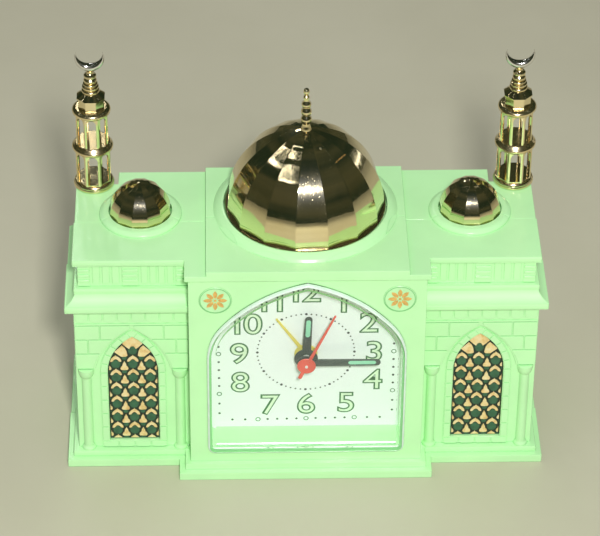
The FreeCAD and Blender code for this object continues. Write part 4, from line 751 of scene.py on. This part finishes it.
def domeShell(dome, x, name, body, node):
    bm = bmesh.new()
    z = dome["baseZ"]
    outer = ogive(dome["cornerR"], dome["arcR"], dome["topR"], 26)
    inner = ogive(dome["cornerR"] - dome["wall"], dome["arcR"] - dome["wall"],
                  dome["topR"], 14)
    foot = [(dome["cornerR"], z - dome["band"])] if dome["band"] else []
    start = z - dome["band"]
    profile = [(r, z + h) for r, h in reversed(inner)]
    profile += [(dome["cornerR"] - dome["wall"], start)] if dome["band"] else []
    profile += foot + [(r, z + h) for r, h in outer]
    if dome["topR"]:
        profile.append(profile[0])
        turned(bm, profile[:-1], x, dome["y"], dome["gores"], math.radians(dome["phase"]))
        bmesh.ops.holes_fill(bm, edges=[e for e in bm.edges if e.is_boundary], sides=0)
    else:
        turned(bm, profile, x, dome["y"], dome["gores"], math.radians(dome["phase"]))
    bmesh.ops.dissolve_degenerate(bm, dist=1e-6, edges=bm.edges)
    bmesh.ops.recalc_face_normals(bm, faces=bm.faces)
    # round only the ridges between gores and the foot
    ridges = [e for e in sharpEdges(bm, 11.0, True)
              if Vector((sum(v.co.x for v in e.verts) / 2 - x * mm,
                         sum(v.co.y for v in e.verts) / 2 - dome["y"] * mm)).length
              > dome["cornerR"] * mm * 0.16]
    bmesh.ops.bevel(bm, geom=ridges, offset=dome["round"] * mm, offset_type="OFFSET", segments=2,
                    profile=0.5, affect="EDGES", material=-1, clamp_overlap=True)
    if dome["lipOut"]:
        # a thin round lip closes the gap below the flat gores
        lip, rim, top = bmesh.new(), dome["cornerR"] + dome["lipOut"], z + dome["lipHigh"]
        turned(lip, [(32.2, z + 0.02), (rim - 0.1, z + 0.02), (rim, z + 0.12), (rim, top - 0.15),
                     (rim - 0.15, top), (32.2, top), (32.2, z + 0.02)], x, dome["y"], 120)
        absorb(bm, lip)
    piece = settle(bm, name, body, "gold_plated", gold, angle=6.5)
    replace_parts(piece, node)
    return piece


bigCollar = {"profile": [(34.85, 112.4), (34.85, 114.3), (35.05, 114.65), (35.45, 114.84),
                         (36.1, 114.72), (37.0, 114.25), (37.8, 113.72), (38.45, 113.2),
                         (38.8, 112.75), (39.05, 112.35), (39.4, 112.08), (39.4, 111.9),
                         (36.0, 111.9)],
             "backR": 38.4, "marks": [(-24.0, 12.0), (22.5, 11.5), (-59.0, 10.5), (70.5, 11.0)]}


def collarRing():
    # a smooth raised ring round the dome's foot, with four shallow lens-shaped marks
    bm = bmesh.new()
    turned(bm, bigCollar["profile"] + bigCollar["profile"][:1], 0, bigDome["y"], 120)
    for middle, spread in bigCollar["marks"]:
        rim = []
        for k in range(13):
            t = -1.0 + k / 6.0
            rim.append((middle + spread * t, 39.35 - 0.1 * t * t, 112.15))
        for k in range(1, 12):
            t = 1.0 - k / 6.0
            rim.append((middle + spread * t, 39.3 - 1.6 * (1 - t * t), 112.15 + 1.7 * (1 - t * t)))
        verts = [bm.verts.new(at(r * math.sin(math.radians(a)),
                                 bigDome["y"] - r * math.cos(math.radians(a)), z))
                 for a, r, z in rim]
        lens = bm.faces.new(verts)
        grown = bmesh.ops.extrude_face_region(bm, geom=[lens])
        tops = [g for g in grown["geom"] if isinstance(g, bmesh.types.BMVert)]
        bmesh.ops.translate(bm, verts=tops, vec=at(0, 0, 0.3))
    # at the back the foot stays within the wall below it
    for vert in bm.verts:
        out = Vector((vert.co.x, vert.co.y - bigDome["y"] * mm))
        if vert.co.y > 30 * mm and out.length > bigCollar["backR"] * mm:
            out = out.normalized() * bigCollar["backR"] * mm
            vert.co.x, vert.co.y = out.x, out.y + bigDome["y"] * mm
    bmesh.ops.dissolve_degenerate(bm, dist=1e-6, edges=bm.edges)
    return settle(bm, "collarRing", "case", "mint_plastic", mint)


collarRing()
domeShell(bigDome, 0.0, "domeShell", "stop_button", "main_dome")
for side, label in ((-1, "Left"), (1, "Right")):
    domeShell(smallDome, side * 70.3, "smallDomeShell" + label, "case",
              "small_dome_" + label.lower())

stopPost = {"profile": [(0, 95.3), (3.0, 95.3), (3.0, 108.2), (2.4, 108.2), (2.4, 109.2),
                        (3.0, 109.2), (3.0, 123.3), (9.0, 123.3), (9.0, 125.3), (3.0, 125.3),
                        (3.0, 150.6), (0, 150.6)]}
postMesh = bmesh.new()
turned(postMesh, stopPost["profile"], 0, bigDome["y"], 32)
settle(postMesh, "domePost", "stop_button", "gold_plated", gold)

finial = {"y": 5.0, "profile": [(0, 147.5), (1.0, 147.5), (1.0, 152.0), (2.3, 152.3), (2.35, 153.0),
                                (1.9, 154.2), (1.45, 155.6), (1.5, 156.4), (2.2, 157.0),
                                (2.4, 158.0), (2.2, 159.0), (1.5, 159.6), (1.3, 160.2),
                                (2.1, 160.8), (2.3, 161.8), (2.1, 162.8), (1.4, 163.4),
                                (1.25, 164.0), (1.9, 164.6), (2.1, 165.5), (1.9, 166.4),
                                (1.2, 167.0), (1.05, 168.2), (1.4, 168.8), (1.15, 169.6),
                                (0.7, 170.0), (0.75, 170.4), (1.2, 171.0), (1.35, 171.9),
                                (1.15, 172.8), (0.6, 173.4), (0, 173.55)]}
finialMesh = bmesh.new()
turned(finialMesh, finial["profile"], 0, finial["y"], 32)
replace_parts(settle(finialMesh, "finial", "stop_button", "gold_plated", gold, angle=50.0),
            "dome_finial")
print("domes made")

# minarets: the storeys' own mesh rounded, and a swept moon on top
minaret = {
    "x": 90.6, "y": 26.9, "edge": 0.10, "roundedBelow": 155.0,
    # moulded rings at the foot, between the storeys and on top of them, and the beads above
    "rings": [
        [(7.6, 109.95), (8.5, 109.95), (8.75, 110.35), (8.75, 110.9), (8.45, 111.35),
         (8.3, 111.9), (8.05, 112.5), (7.4, 112.8)],
        [(7.3, 128.2), (7.75, 128.3), (8.2, 128.9), (8.75, 129.35), (8.85, 129.9), (8.75, 130.5),
         (8.4, 130.9), (7.9, 131.3), (7.5, 132.1), (7.0, 132.3)],
        [(6.9, 147.0), (7.3, 147.1), (7.7, 147.6), (8.15, 148.0), (8.25, 148.6), (8.1, 149.2),
         (7.7, 149.6), (7.0, 150.1), (6.4, 150.2)],
        [(1.6, 157.7), (3.55, 157.75), (3.85, 158.2), (3.85, 158.8), (3.4, 159.25), (2.9, 159.4),
         (3.3, 159.7), (3.6, 160.15), (3.5, 160.6), (2.9, 160.9), (2.6, 161.0), (3.0, 161.3),
         (3.2, 161.8), (3.0, 162.2), (2.3, 162.5), (1.6, 162.6)],
        [(1.6, 162.4), (2.2, 162.55), (2.75, 163.1), (2.85, 163.6), (2.6, 164.2), (2.1, 164.6),
         (2.0, 164.8), (2.4, 165.1), (2.7, 165.6), (2.65, 166.1), (2.2, 166.6), (1.6, 166.95),
         (1.4, 167.4), (1.35, 168.0), (1.6, 168.5), (0.4, 168.6)],
    ],
}


def lowEdge(edge):
    return max(v.co.z for v in edge.verts) < minaret["roundedBelow"] * mm


def minaretRings(side):
    bm = bmesh.new()
    for profile in minaret["rings"]:
        one = bmesh.new()
        turned(one, profile, side * minaret["x"], minaret["y"], 48)
        absorb(bm, one)
    bmesh.ops.holes_fill(bm, edges=[e for e in bm.edges if e.is_boundary], sides=0)
    return settle(bm, "minaretRings" + ("Right" if side > 0 else "Left"), "case", "gold_plated",
                  satinGold, angle=50.0)


for side, label in ((-1, "left"), (1, "right")):
    cadCopy("minaret_" + label, minaret["edge"], degrees=50.0,
            name="minaret" + label.capitalize(), chosen=lowEdge)
    minaretRings(side)

moon = {"x": 90.6, "y": 26.9, "r": 5.15, "centreZ": 175.1, "thick": 1.85, "open": 111.0}


def moonPiece(side):
    label = "Right" if side > 0 else "Left"
    curve = bpy.data.curves.new("moonPath", "CURVE")
    curve.dimensions = "3D"
    curve.bevel_depth = 1.0 * mm
    curve.bevel_resolution = 6
    curve.use_fill_caps = True
    spline = curve.splines.new("POLY")
    count = 36
    spline.points.add(count)
    for i in range(count + 1):
        t = 2.0 * i / count - 1.0
        a = math.radians(270.0 + t * moon["open"])
        r = moon["r"] + 0.9 * abs(t) ** 2
        p = at(side * moon["x"] + r * math.cos(a), moon["y"], moon["centreZ"]
               + r * math.sin(a))
        spline.points[i].co = (*p, 1.0)
        spline.points[i].radius = max(0.12, moon["thick"] * (1 - abs(t) ** 1.7))
    holder = bpy.data.objects.new("moonPath", curve)
    mesh = bpy.data.meshes.new_from_object(holder)
    bm = bmesh.new()
    bm.from_mesh(mesh)
    bpy.data.objects.remove(holder)
    bpy.data.meshes.remove(mesh)
    bmesh.ops.remove_doubles(bm, verts=bm.verts, dist=1e-6)
    piece = settle(bm, "moon" + label, "case", "silver_plated", silver, angle=60.0)
    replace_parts(piece, "crescent_" + label.lower())


for side in (-1, 1):
    moonPiece(side)
print("minarets made")

# dial card with its printing
dial = {"y": -23.7, "z": 56.1, "size": 15.4, "wide": 1.08, "ring": 20.9, "dot": 0.38, "bigDot": 0.6,
        "trackDot": 0.55, "close": 0.80, "grow": 0.50, "shrink": -0.15, "ink": 0.03}
numerals = {"12": (0.2, 89.2), "1": (16.0, 83.3), "2": (26.9, 72.3), "3": (29.4, 56.2),
            "4": (29.1, 40.6), "5": (17.7, 27.6), "6": (0.4, 27.1), "7": (-15.2, 26.6),
            "8": (-28.3, 39.6), "9": (-28.7, 55.6), "10": (-24.7, 71.8), "11": (-14.6, 84.0)}


def letter(bm, text, x, z, y, size, grow):
    # a flat numeral, made a mesh and then placed
    curve = bpy.data.curves.new("numeral", "FONT")
    curve.body = text
    curve.size = size * mm
    curve.align_x = "CENTER"
    curve.align_y = "CENTER"
    curve.offset = grow * mm
    curve.resolution_u = 6
    curve.space_character = dial["close"]
    holder = bpy.data.objects.new("numeral", curve)
    bpy.context.scene.collection.objects.link(holder)
    bpy.context.view_layer.update()
    mesh = bpy.data.meshes.new_from_object(holder)
    xs = [v.co.x for v in mesh.vertices]
    zs = [v.co.y for v in mesh.vertices]
    shift = (Matrix.Diagonal((dial["wide"], 1.0, 1.0, 1.0))
             @ Matrix.Translation((-(min(xs) + max(xs)) / 2, -(min(zs) + max(zs)) / 2, 0)))
    upright = Matrix.Rotation(math.radians(90), 4, "X")
    mesh.transform(Matrix.Translation(at(x, y, z)) @ upright @ shift)
    bm.from_mesh(mesh)
    bpy.data.objects.remove(holder)
    bpy.data.curves.remove(curve)
    bpy.data.meshes.remove(mesh)


def dot(bm, x, z, y, r, steps=14):
    spot = bmesh.ops.create_circle(bm, cap_ends=True, segments=steps, radius=r * mm)
    bmesh.ops.rotate(bm, verts=spot["verts"], cent=(0, 0, 0),
                     matrix=Matrix.Rotation(math.radians(90), 3, "X"))
    bmesh.ops.translate(bm, verts=spot["verts"], vec=at(x, y, z))


def ring(bm, x, z, y, outer, inner, steps=20):
    hoop = [bm.verts.new(at(x + r, y, z)) for r in (inner, outer)]
    edge = bm.edges.new(hoop)
    bmesh.ops.spin(bm, geom=hoop + [edge], cent=at(x, y, z), axis=(0, 1, 0), angle=math.tau,
                   steps=steps, use_merge=True)
    bmesh.ops.remove_doubles(bm, verts=bm.verts, dist=1e-7)


def thicken(bm, depth):
    # printing becomes a thin closed layer that stands forward of the card
    for face in bm.faces:
        if face.normal.y > 0:
            face.normal_flip()
    bmesh.ops.solidify(bm, geom=bm.faces[:], thickness=-depth * mm)


track = {
    # minute track beside and below the numerals, its rings from the right side round to the left
    "rings": [(37.9, 56.1), (37.9, 34.1), (21.5, 18.9), (0.4, 18.6), (-20.6, 18.3), (-37.4, 33.0),
              (-37.6, 55.4)],
    "extra": [(37.9, 60.4), (-37.6, 59.4)], "ringOut": 1.15, "ringIn": 0.78, "right": 37.9,
    "left": -37.4, "stepDown": 5.5, "stepAcross": 5.6,
}


def cornerSpot(x0, z0, x1, z1, k):
    # around the lower corners the track turns between a side and the bottom
    down, across = track["stepDown"], track["stepAcross"]
    if x0 > 0:
        return (track["right"], z0 - down * k) if k < 3 else (x1 + across * (5 - k), z1)
    return (x0 - across * k, z0) if k < 3 else (track["left"], z1 - down * (5 - k))


def dialPrint():
    y = dial["y"] - 0.01
    green, pale, black = bmesh.new(), bmesh.new(), bmesh.new()
    for text, (x, z) in numerals.items():
        letter(green, text, x, z, y, dial["size"], dial["grow"])
        letter(pale, text, x, z, y - dial["ink"], dial["size"], dial["shrink"])
    for i in range(60):
        a = math.radians(6 * i)
        r = dial["bigDot"] if i % 5 == 0 else dial["dot"]
        dot(black, dial["ring"] * math.sin(a), dial["z"] + dial["ring"] * math.cos(a), y, r, 10)
    rings = track["rings"]
    for x, z in rings:
        ring(green, x, z, y, track["ringOut"], track["ringIn"])
    spots = list(track["extra"])
    for (x0, z0), (x1, z1) in zip(rings, rings[1:]):
        for k in range(1, 5):
            if abs(x1 - x0) > 5 and abs(z1 - z0) > 5:
                spots.append(cornerSpot(x0, z0, x1, z1, k))
            else:
                spots.append((x0 + (x1 - x0) * k / 5.0, z0 + (z1 - z0) * k / 5.0))
    for x, z in spots:
        dot(black, x, z, y, dial["trackDot"], 10)
    for bm in (green, pale, black):
        bmesh.ops.recalc_face_normals(bm, faces=bm.faces)
        thicken(bm, dial["ink"])
    settle(green, "dialGreenPrint", "case", "dial_card", printGreen, weighted=False)
    settle(pale, "dialPalePrint", "case", "dial_card", printPale, weighted=False)
    settle(black, "dialDots", "case", "dial_card", printBlack, weighted=False)


dialPrint()
print("dial printed")

# hands
hands = {
    "hour": {"y": -28.4, "long": 23.0, "half": 2.0, "disc": 5.1, "bore": 1.35, "angle": 2.5,
             "lume": (12.0, 21.3, 1.0), "body": "hour_hand", "node": "hour_hand", "tail": 0.0,
             "finish": handDark, "slot": "dark_hand", "tip": 1.6},
    "minute": {"y": -31.2, "long": 31.9, "half": 1.95, "disc": 3.9, "bore": 0.65, "angle": 90.0,
               "lume": (18.0, 29.9, 0.95), "body": "minute_hand", "node": "minute_hand",
               "tail": 0.0, "finish": handDark, "slot": "dark_hand", "tip": 1.75},
    "second": {"y": -33.5, "long": 30.2, "half": 0.75, "disc": 4.0, "bore": 0.0, "angle": 23.7,
               "lume": None, "body": "second_hand", "node": "second_hand", "tail": 7.6,
               "finish": handRed, "slot": "red_hand", "tip": 0.45},
    "alarm": {"y": -25.1, "long": 23.4, "half": 0.95, "disc": 5.0, "bore": 2.25, "angle": -33.5,
              "lume": None, "body": "alarm_hand", "node": "alarm_hand", "tail": 0.0,
              "finish": handYellow, "slot": "yellow_hand", "tip": 0.45},
}


def handPiece(name, hand):
    bm = bmesh.new()
    thick = 0.4
    half, tip, length = hand["half"], hand["tip"], hand["long"]
    end = arcPoints(0, length - tip, tip, 180, 0, 10)
    blade = [(-half, 0)] + end + [(half, 0)]
    if hand["tail"]:
        blade += [(half * 1.1, -hand["tail"] + 0.4), (0, -hand["tail"]),
                  (-half * 1.1, -hand["tail"] + 0.4)]
    plank(bm, [(x, z + dial["z"]) for x, z in reversed(blade)], hand["y"], hand["y"] + thick)
    bmesh.ops.recalc_face_normals(bm, faces=bm.faces)
    roundEdges(bm, 0.12, 2, 40.0)
    disc = bmesh.new()
    bore, r = hand["bore"], hand["disc"]
    low, high = -hand["y"] - thick, -hand["y"] + 0.02
    if hand["bore"]:
        profile = [(bore, low), (bore, high), (r - 0.15, high), (r, high - 0.15), (r, low), (bore, low)]
    else:
        profile = [(0, high + 0.08), (1.0, high + 0.06), (1.25, high), (r - 0.15, high),
                   (r, high - 0.15), (r, low), (0, low)]
    turned(disc, profile, 0, 0, 48)
    layForward(disc, at(0, 0, dial["z"]))
    absorb(bm, disc)
    turn = Matrix.Rotation(math.radians(hand["angle"]), 3, "Y")
    bmesh.ops.rotate(bm, verts=bm.verts, cent=at(0, 0, dial["z"]), matrix=turn)
    piece = settle(bm, name + "HandBlade", hand["body"], hand["slot"], hand["finish"])
    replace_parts(piece, hand["node"])
    if hand["lume"]:
        start, stop, wide = hand["lume"]
        strip = bmesh.new()
        rounded = arcPoints(0, stop - wide, wide, 0, 180, 8) + arcPoints(0, start + wide, wide,
                                                                       180, 360, 8)
        plank(strip, [(x, z + dial["z"]) for x, z in rounded], hand["y"] - 0.06, hand["y"] + 0.1)
        bmesh.ops.recalc_face_normals(strip, faces=strip.faces)
        roundEdges(strip, 0.05, 1, 40.0)
        bmesh.ops.rotate(strip, verts=strip.verts, cent=at(0, 0, dial["z"]), matrix=turn)
        settle(strip, name + "HandInsert", hand["body"], hand["slot"], handMint)


for handName, hand in hands.items():
    handPiece(handName, hand)
print("hands made")

# medallions: a pale disc, a green line and a small rosette
medal = {"x": 38.75, "z": 96.2, "y": -38.8, "r": 6.8}


def medallions():
    face, line, flower = bmesh.new(), bmesh.new(), bmesh.new()
    for s in (-1, 1):
        x, z, y = s * medal["x"], medal["z"], medal["y"]
        profile = [(0, -38.3), (medal["r"], -38.3), (medal["r"], -38.62), (medal["r"] - 0.2, -38.8),
                   (6.0, -38.8), (5.8, -38.72), (0, -38.72)]
        disc = bmesh.new()
        turned(disc, [(r, -h) for r, h in profile], 0, 0, 64)
        layForward(disc, at(x, 0, z))
        absorb(face, disc)
        ring(line, x, z, -38.82, 6.6, 6.2, 64)
        for i in range(8):
            a = math.radians(45 * i)
            petal = []
            for u, v in ((1.0, 0.0), (1.9, 0.72), (3.3, 0.98), (4.3, 0.6), (5.1, 0.0),
                         (4.3, -0.6), (3.3, -0.98), (1.9, -0.72)):
                petal.append((x + u * math.cos(a) - v * math.sin(a),
                              z + u * math.sin(a) + v * math.cos(a)))
            plank(flower, petal, -38.92, -38.7)
        plank(flower, arcPoints(x, z, 0.62, 0, 330, 11), -38.95, -38.7)
    bmesh.ops.recalc_face_normals(line, faces=line.faces)
    thicken(line, 0.06)
    bmesh.ops.recalc_face_normals(flower, faces=flower.faces)
    roundEdges(flower, 0.1, 2, 40.0)
    piece = settle(face, "medalDiscs", "case", "medal_face", medalMint)
    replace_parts(piece, "medallions")
    settle(line, "medalRings", "case", "medal_face", medalLine, weighted=False)
    settle(flower, "medalRosettes", "case", "medal_face", medalGold)


medallions()

# cover, knobs, door and the other outer parts keep their own shapes, with rounded edges
cadCopy("crystal", 0.0, name="dialCover")
cover = {"half": 42.5, "foot": 12.6, "spring": 65.0, "apex": 105.2, "haunchR": 27.3,
         "haunchAngle": 38.6, "corner": 3.5,
         # rows of the painted highlight strip along the rim: inset from the outline and place in depth
         "rows": [(-0.03, -39.25), (-0.03, -39.82), (0.25, -40.49), (0.55, -40.72), (0.85, -40.82)]}


def coverOutline(inset):
    # the pane's outline: straight sides, tight lower corners, haunches and a pointed crown
    angle = math.radians(cover["haunchAngle"])
    nx, nz = math.cos(angle), math.sin(angle)
    c1x = cover["half"] - cover["haunchR"]
    hx, hz = c1x + cover["haunchR"] * nx, cover["spring"] + cover["haunchR"] * nz
    ax, az = -hx, cover["apex"] - hz
    big = -(ax * ax + az * az) / (2 * (ax * nx + az * nz))
    c2x, c2z = hx - nx * big, hz - nz * big
    r1, r2 = cover["haunchR"] - inset, big - inset
    half, foot, corner = cover["half"] - inset, cover["foot"] + inset, cover["corner"] - inset
    top = c2z + math.sqrt(r2 * r2 - c2x * c2x)
    topAngle = math.degrees(math.atan2(top - c2z, -c2x))
    right = arcPoints(half - corner, foot + corner, corner, 270, 360, 8)
    right += arcPoints(c1x, cover["spring"], r1, 0, cover["haunchAngle"], 12)
    right += arcPoints(c2x, c2z, r2, cover["haunchAngle"], topAngle, 18)[1:]
    return right + [(-x, z) for x, z in reversed(right[:-1])]


def coverPaintedHighlight():
    # painted highlight: an opaque pale strip laid all round the pane's moulded edge, standing in for the
    # bright line that edge mirrors
    bm = bmesh.new()
    rows = [[bm.verts.new(at(x, y, z)) for x, z in coverOutline(inset)]
            for inset, y in cover["rows"]]
    for low, high in zip(rows, rows[1:]):
        for i in range(len(low)):
            j = (i + 1) % len(low)
            bm.faces.new((low[i], low[j], high[j], high[i]))
    bmesh.ops.recalc_face_normals(bm, faces=bm.faces)
    for face in bm.faces:
        if face.normal.y > 0.2:
            face.normal_flip()
    return settle(bm, "coverPaintedHighlight", "case", "clear_acrylic", rimPaintedHighlight, outward=False)


coverPaintedHighlight()
for node, bevel in (("time_knob", 0.25), ("alarm_knob", 0.25), ("alarm_switch", 0.15),
                    ("case_screws", 0.12)):
    cadCopy(node, bevel)
cadCopy("battery_door", 0.3, chosen=lambda edge: edge.calc_length() > 6 * mm)
print("outer parts rounded")

# floor, lights and camera
stage = {"floorSize": 6.0}
floorMesh = bmesh.new()
bmesh.ops.create_grid(floorMesh, x_segments=1, y_segments=1, size=stage["floorSize"])
floorData = bpy.data.meshes.new("floor")
floorMesh.to_mesh(floorData)
floorMesh.free()
floorObject = bpy.data.objects.new("floor", floorData)
bpy.context.scene.collection.objects.link(floorObject)
floorData.materials.append(tile)

keyLamp = {
    # a soft lamp beside the camera
    "place": (0.06, -1.07, 1.02), "aim": (0, 0, 0.06), "size": 0.12, "power": 15.5,
    "colour": (1.0, 0.99, 0.965),
}
strips = {
    # thin bright lines that the domes mirror: both ends, width and brightness
    "stripLeft": ((-0.61, 0.41, 1.22), (-0.98, 0.05, 1.01), 0.010, 5.0),
    "stripUpper": ((-0.30, 0.20, 1.41), (-0.44, -0.18, 1.36), 0.008, 5.0),
    "stripInner": ((-0.50, -0.34, 1.30), (-0.65, -0.72, 1.03), 0.006, 5.0),
    "stripFoot": ((-0.65, -0.72, 1.03), (-0.61, -0.66, 1.08), 0.006, 5.0),
    "windowPatch": ((-0.99, 0.02, 0.98), (-0.93, 0.10, 1.06), 0.015, 3.0),
    "stripBack": ((0.55, 0.30, 1.30), (1.00, -0.10, 0.95), 0.008, 1.5),
    "warmSpot": ((1.01, 0.27, 0.90), (1.03, 0.28, 0.92), 0.015, 3.0),
    "roofGlint": ((-0.42, 1.22, 1.02), (-0.42, 1.12, 1.16), 0.090, 12.0),
    "roofStreak": ((-0.20, 1.30, 0.95), (-0.20, 1.05, 1.25), 0.030, 10.0),
    "stripFar": ((1.00, 0.86, 0.42), (1.06, 0.70, 0.10), 0.014, 3.0),
}
stripColours = {"plain": (1.0, 1.0, 0.98), "warm": (1.0, 0.62, 0.30)}
mirrorCentre = at(0, 5, 140)


def areaLamp(name, wide, high, power, colour, place, turn):
    data = bpy.data.lights.new(name, "AREA")
    data.shape = "RECTANGLE"
    data.size, data.size_y = wide, high
    data.energy = power
    data.color = colour
    light = bpy.data.objects.new(name, data)
    light.matrix_world = Matrix.Translation(place) @ turn.to_4x4()
    bpy.context.scene.collection.objects.link(light)


def strip(name, first, second, wide, bright):
    # a thin rectangle from one end to the other, facing the large dome
    first, second = Vector(first), Vector(second)
    middle, along = (first + second) / 2, (second - first).normalized()
    back = middle - mirrorCentre
    back = (back - along * back.dot(along)).normalized()
    length = (second - first).length
    colour = stripColours["warm" if name == "warmSpot" else "plain"]
    areaLamp(name, wide, length, bright * math.pi * wide * length, colour, middle,
             Matrix((along.cross(back), along, back)).transposed())


lampPlace = Vector(keyLamp["place"])
lampTurn = (Vector(keyLamp["aim"]) - lampPlace).to_track_quat("-Z", "Y").to_matrix()
areaLamp("keyLamp", keyLamp["size"], keyLamp["size"], keyLamp["power"], keyLamp["colour"], lampPlace,
         lampTurn)
for stripName, stripValues in strips.items():
    strip(stripName, *stripValues)

# the room: soft grey light all round, but a dark room where something mirrors it
room = {"light": (0.42, 0.42, 0.41), "dark": (0.014, 0.024, 0.012), "warm": (0.062, 0.064, 0.034),
        "cloudScale": 2.6, "cloudDetail": 5.0, "cloudFrom": 0.42, "cloudTo": 0.66}
world = bpy.data.worlds.new("room")
bpy.context.scene.world = world
world.use_nodes = True
roomTree = world.node_tree
softLight = roomTree.nodes["Background"]
softLight.inputs["Color"].default_value = (*room["light"], 1.0)


def roomNode(kind, values=None, links=None):
    node = roomTree.nodes.new(kind)
    for key, value in (values or {}).items():
        node.inputs[key].default_value = value
    for key, socket in (links or {}).items():
        roomTree.links.new(socket, node.inputs[key])
    return node


darkRoom = roomNode("ShaderNodeBackground", {"Color": (*room["dark"], 1.0)})
warmRoom = roomNode("ShaderNodeBackground", {"Color": (*room["warm"], 1.0)})
direction = roomNode("ShaderNodeTexCoord")
cloud = roomNode("ShaderNodeTexNoise", {"Scale": room["cloudScale"], "Detail": room["cloudDetail"]},
                 {"Vector": direction.outputs["Object"]})
contrast = roomNode("ShaderNodeMapRange", {"From Min": room["cloudFrom"], "From Max": room["cloudTo"]},
                    {"Value": cloud.outputs[0]})
mirrored = roomNode("ShaderNodeMixShader", {}, {0: contrast.outputs[0], 1: darkRoom.outputs[0],
                                                2: warmRoom.outputs[0]})
# light that comes through the clear cover is not mirrored light
rays = roomNode("ShaderNodeLightPath")
mirroredOnly = roomNode("ShaderNodeMath", {}, {0: rays.outputs["Is Glossy Ray"],
                                               1: rays.outputs["Is Transmission Ray"]})
mirroredOnly.operation = "SUBTRACT"
mirroredOnly.use_clamp = True
either = roomNode("ShaderNodeMixShader", {}, {0: mirroredOnly.outputs[0], 1: softLight.outputs[0],
                                              2: mirrored.outputs[0]})
roomTree.links.new(either.outputs[0], roomTree.nodes["World Output"].inputs["Surface"])

view = {"place": (-0.036268, -1.066461, 0.914918), "lens": 188.28,
        "right": (0.99963939, -0.02554516, 0.0082784), "up": (0.0091832, 0.61490341, 0.78854896),
        "forward": (0.02523403, 0.78818858, -0.61491625)}
cameraData = bpy.data.cameras.new("camera")
cameraData.lens = view["lens"]
cameraData.sensor_width = 36.0
cameraData.sensor_fit = "HORIZONTAL"
cameraData.clip_start = 0.05
camera = bpy.data.objects.new("camera", cameraData)
axes = Matrix((view["right"], view["up"], [-c for c in view["forward"]])).transposed()
camera.matrix_world = Matrix.Translation(view["place"]) @ axes.to_4x4()
bpy.context.scene.collection.objects.link(camera)
bpy.context.scene.camera = camera
bpy.context.scene.view_settings.view_transform = "Standard"
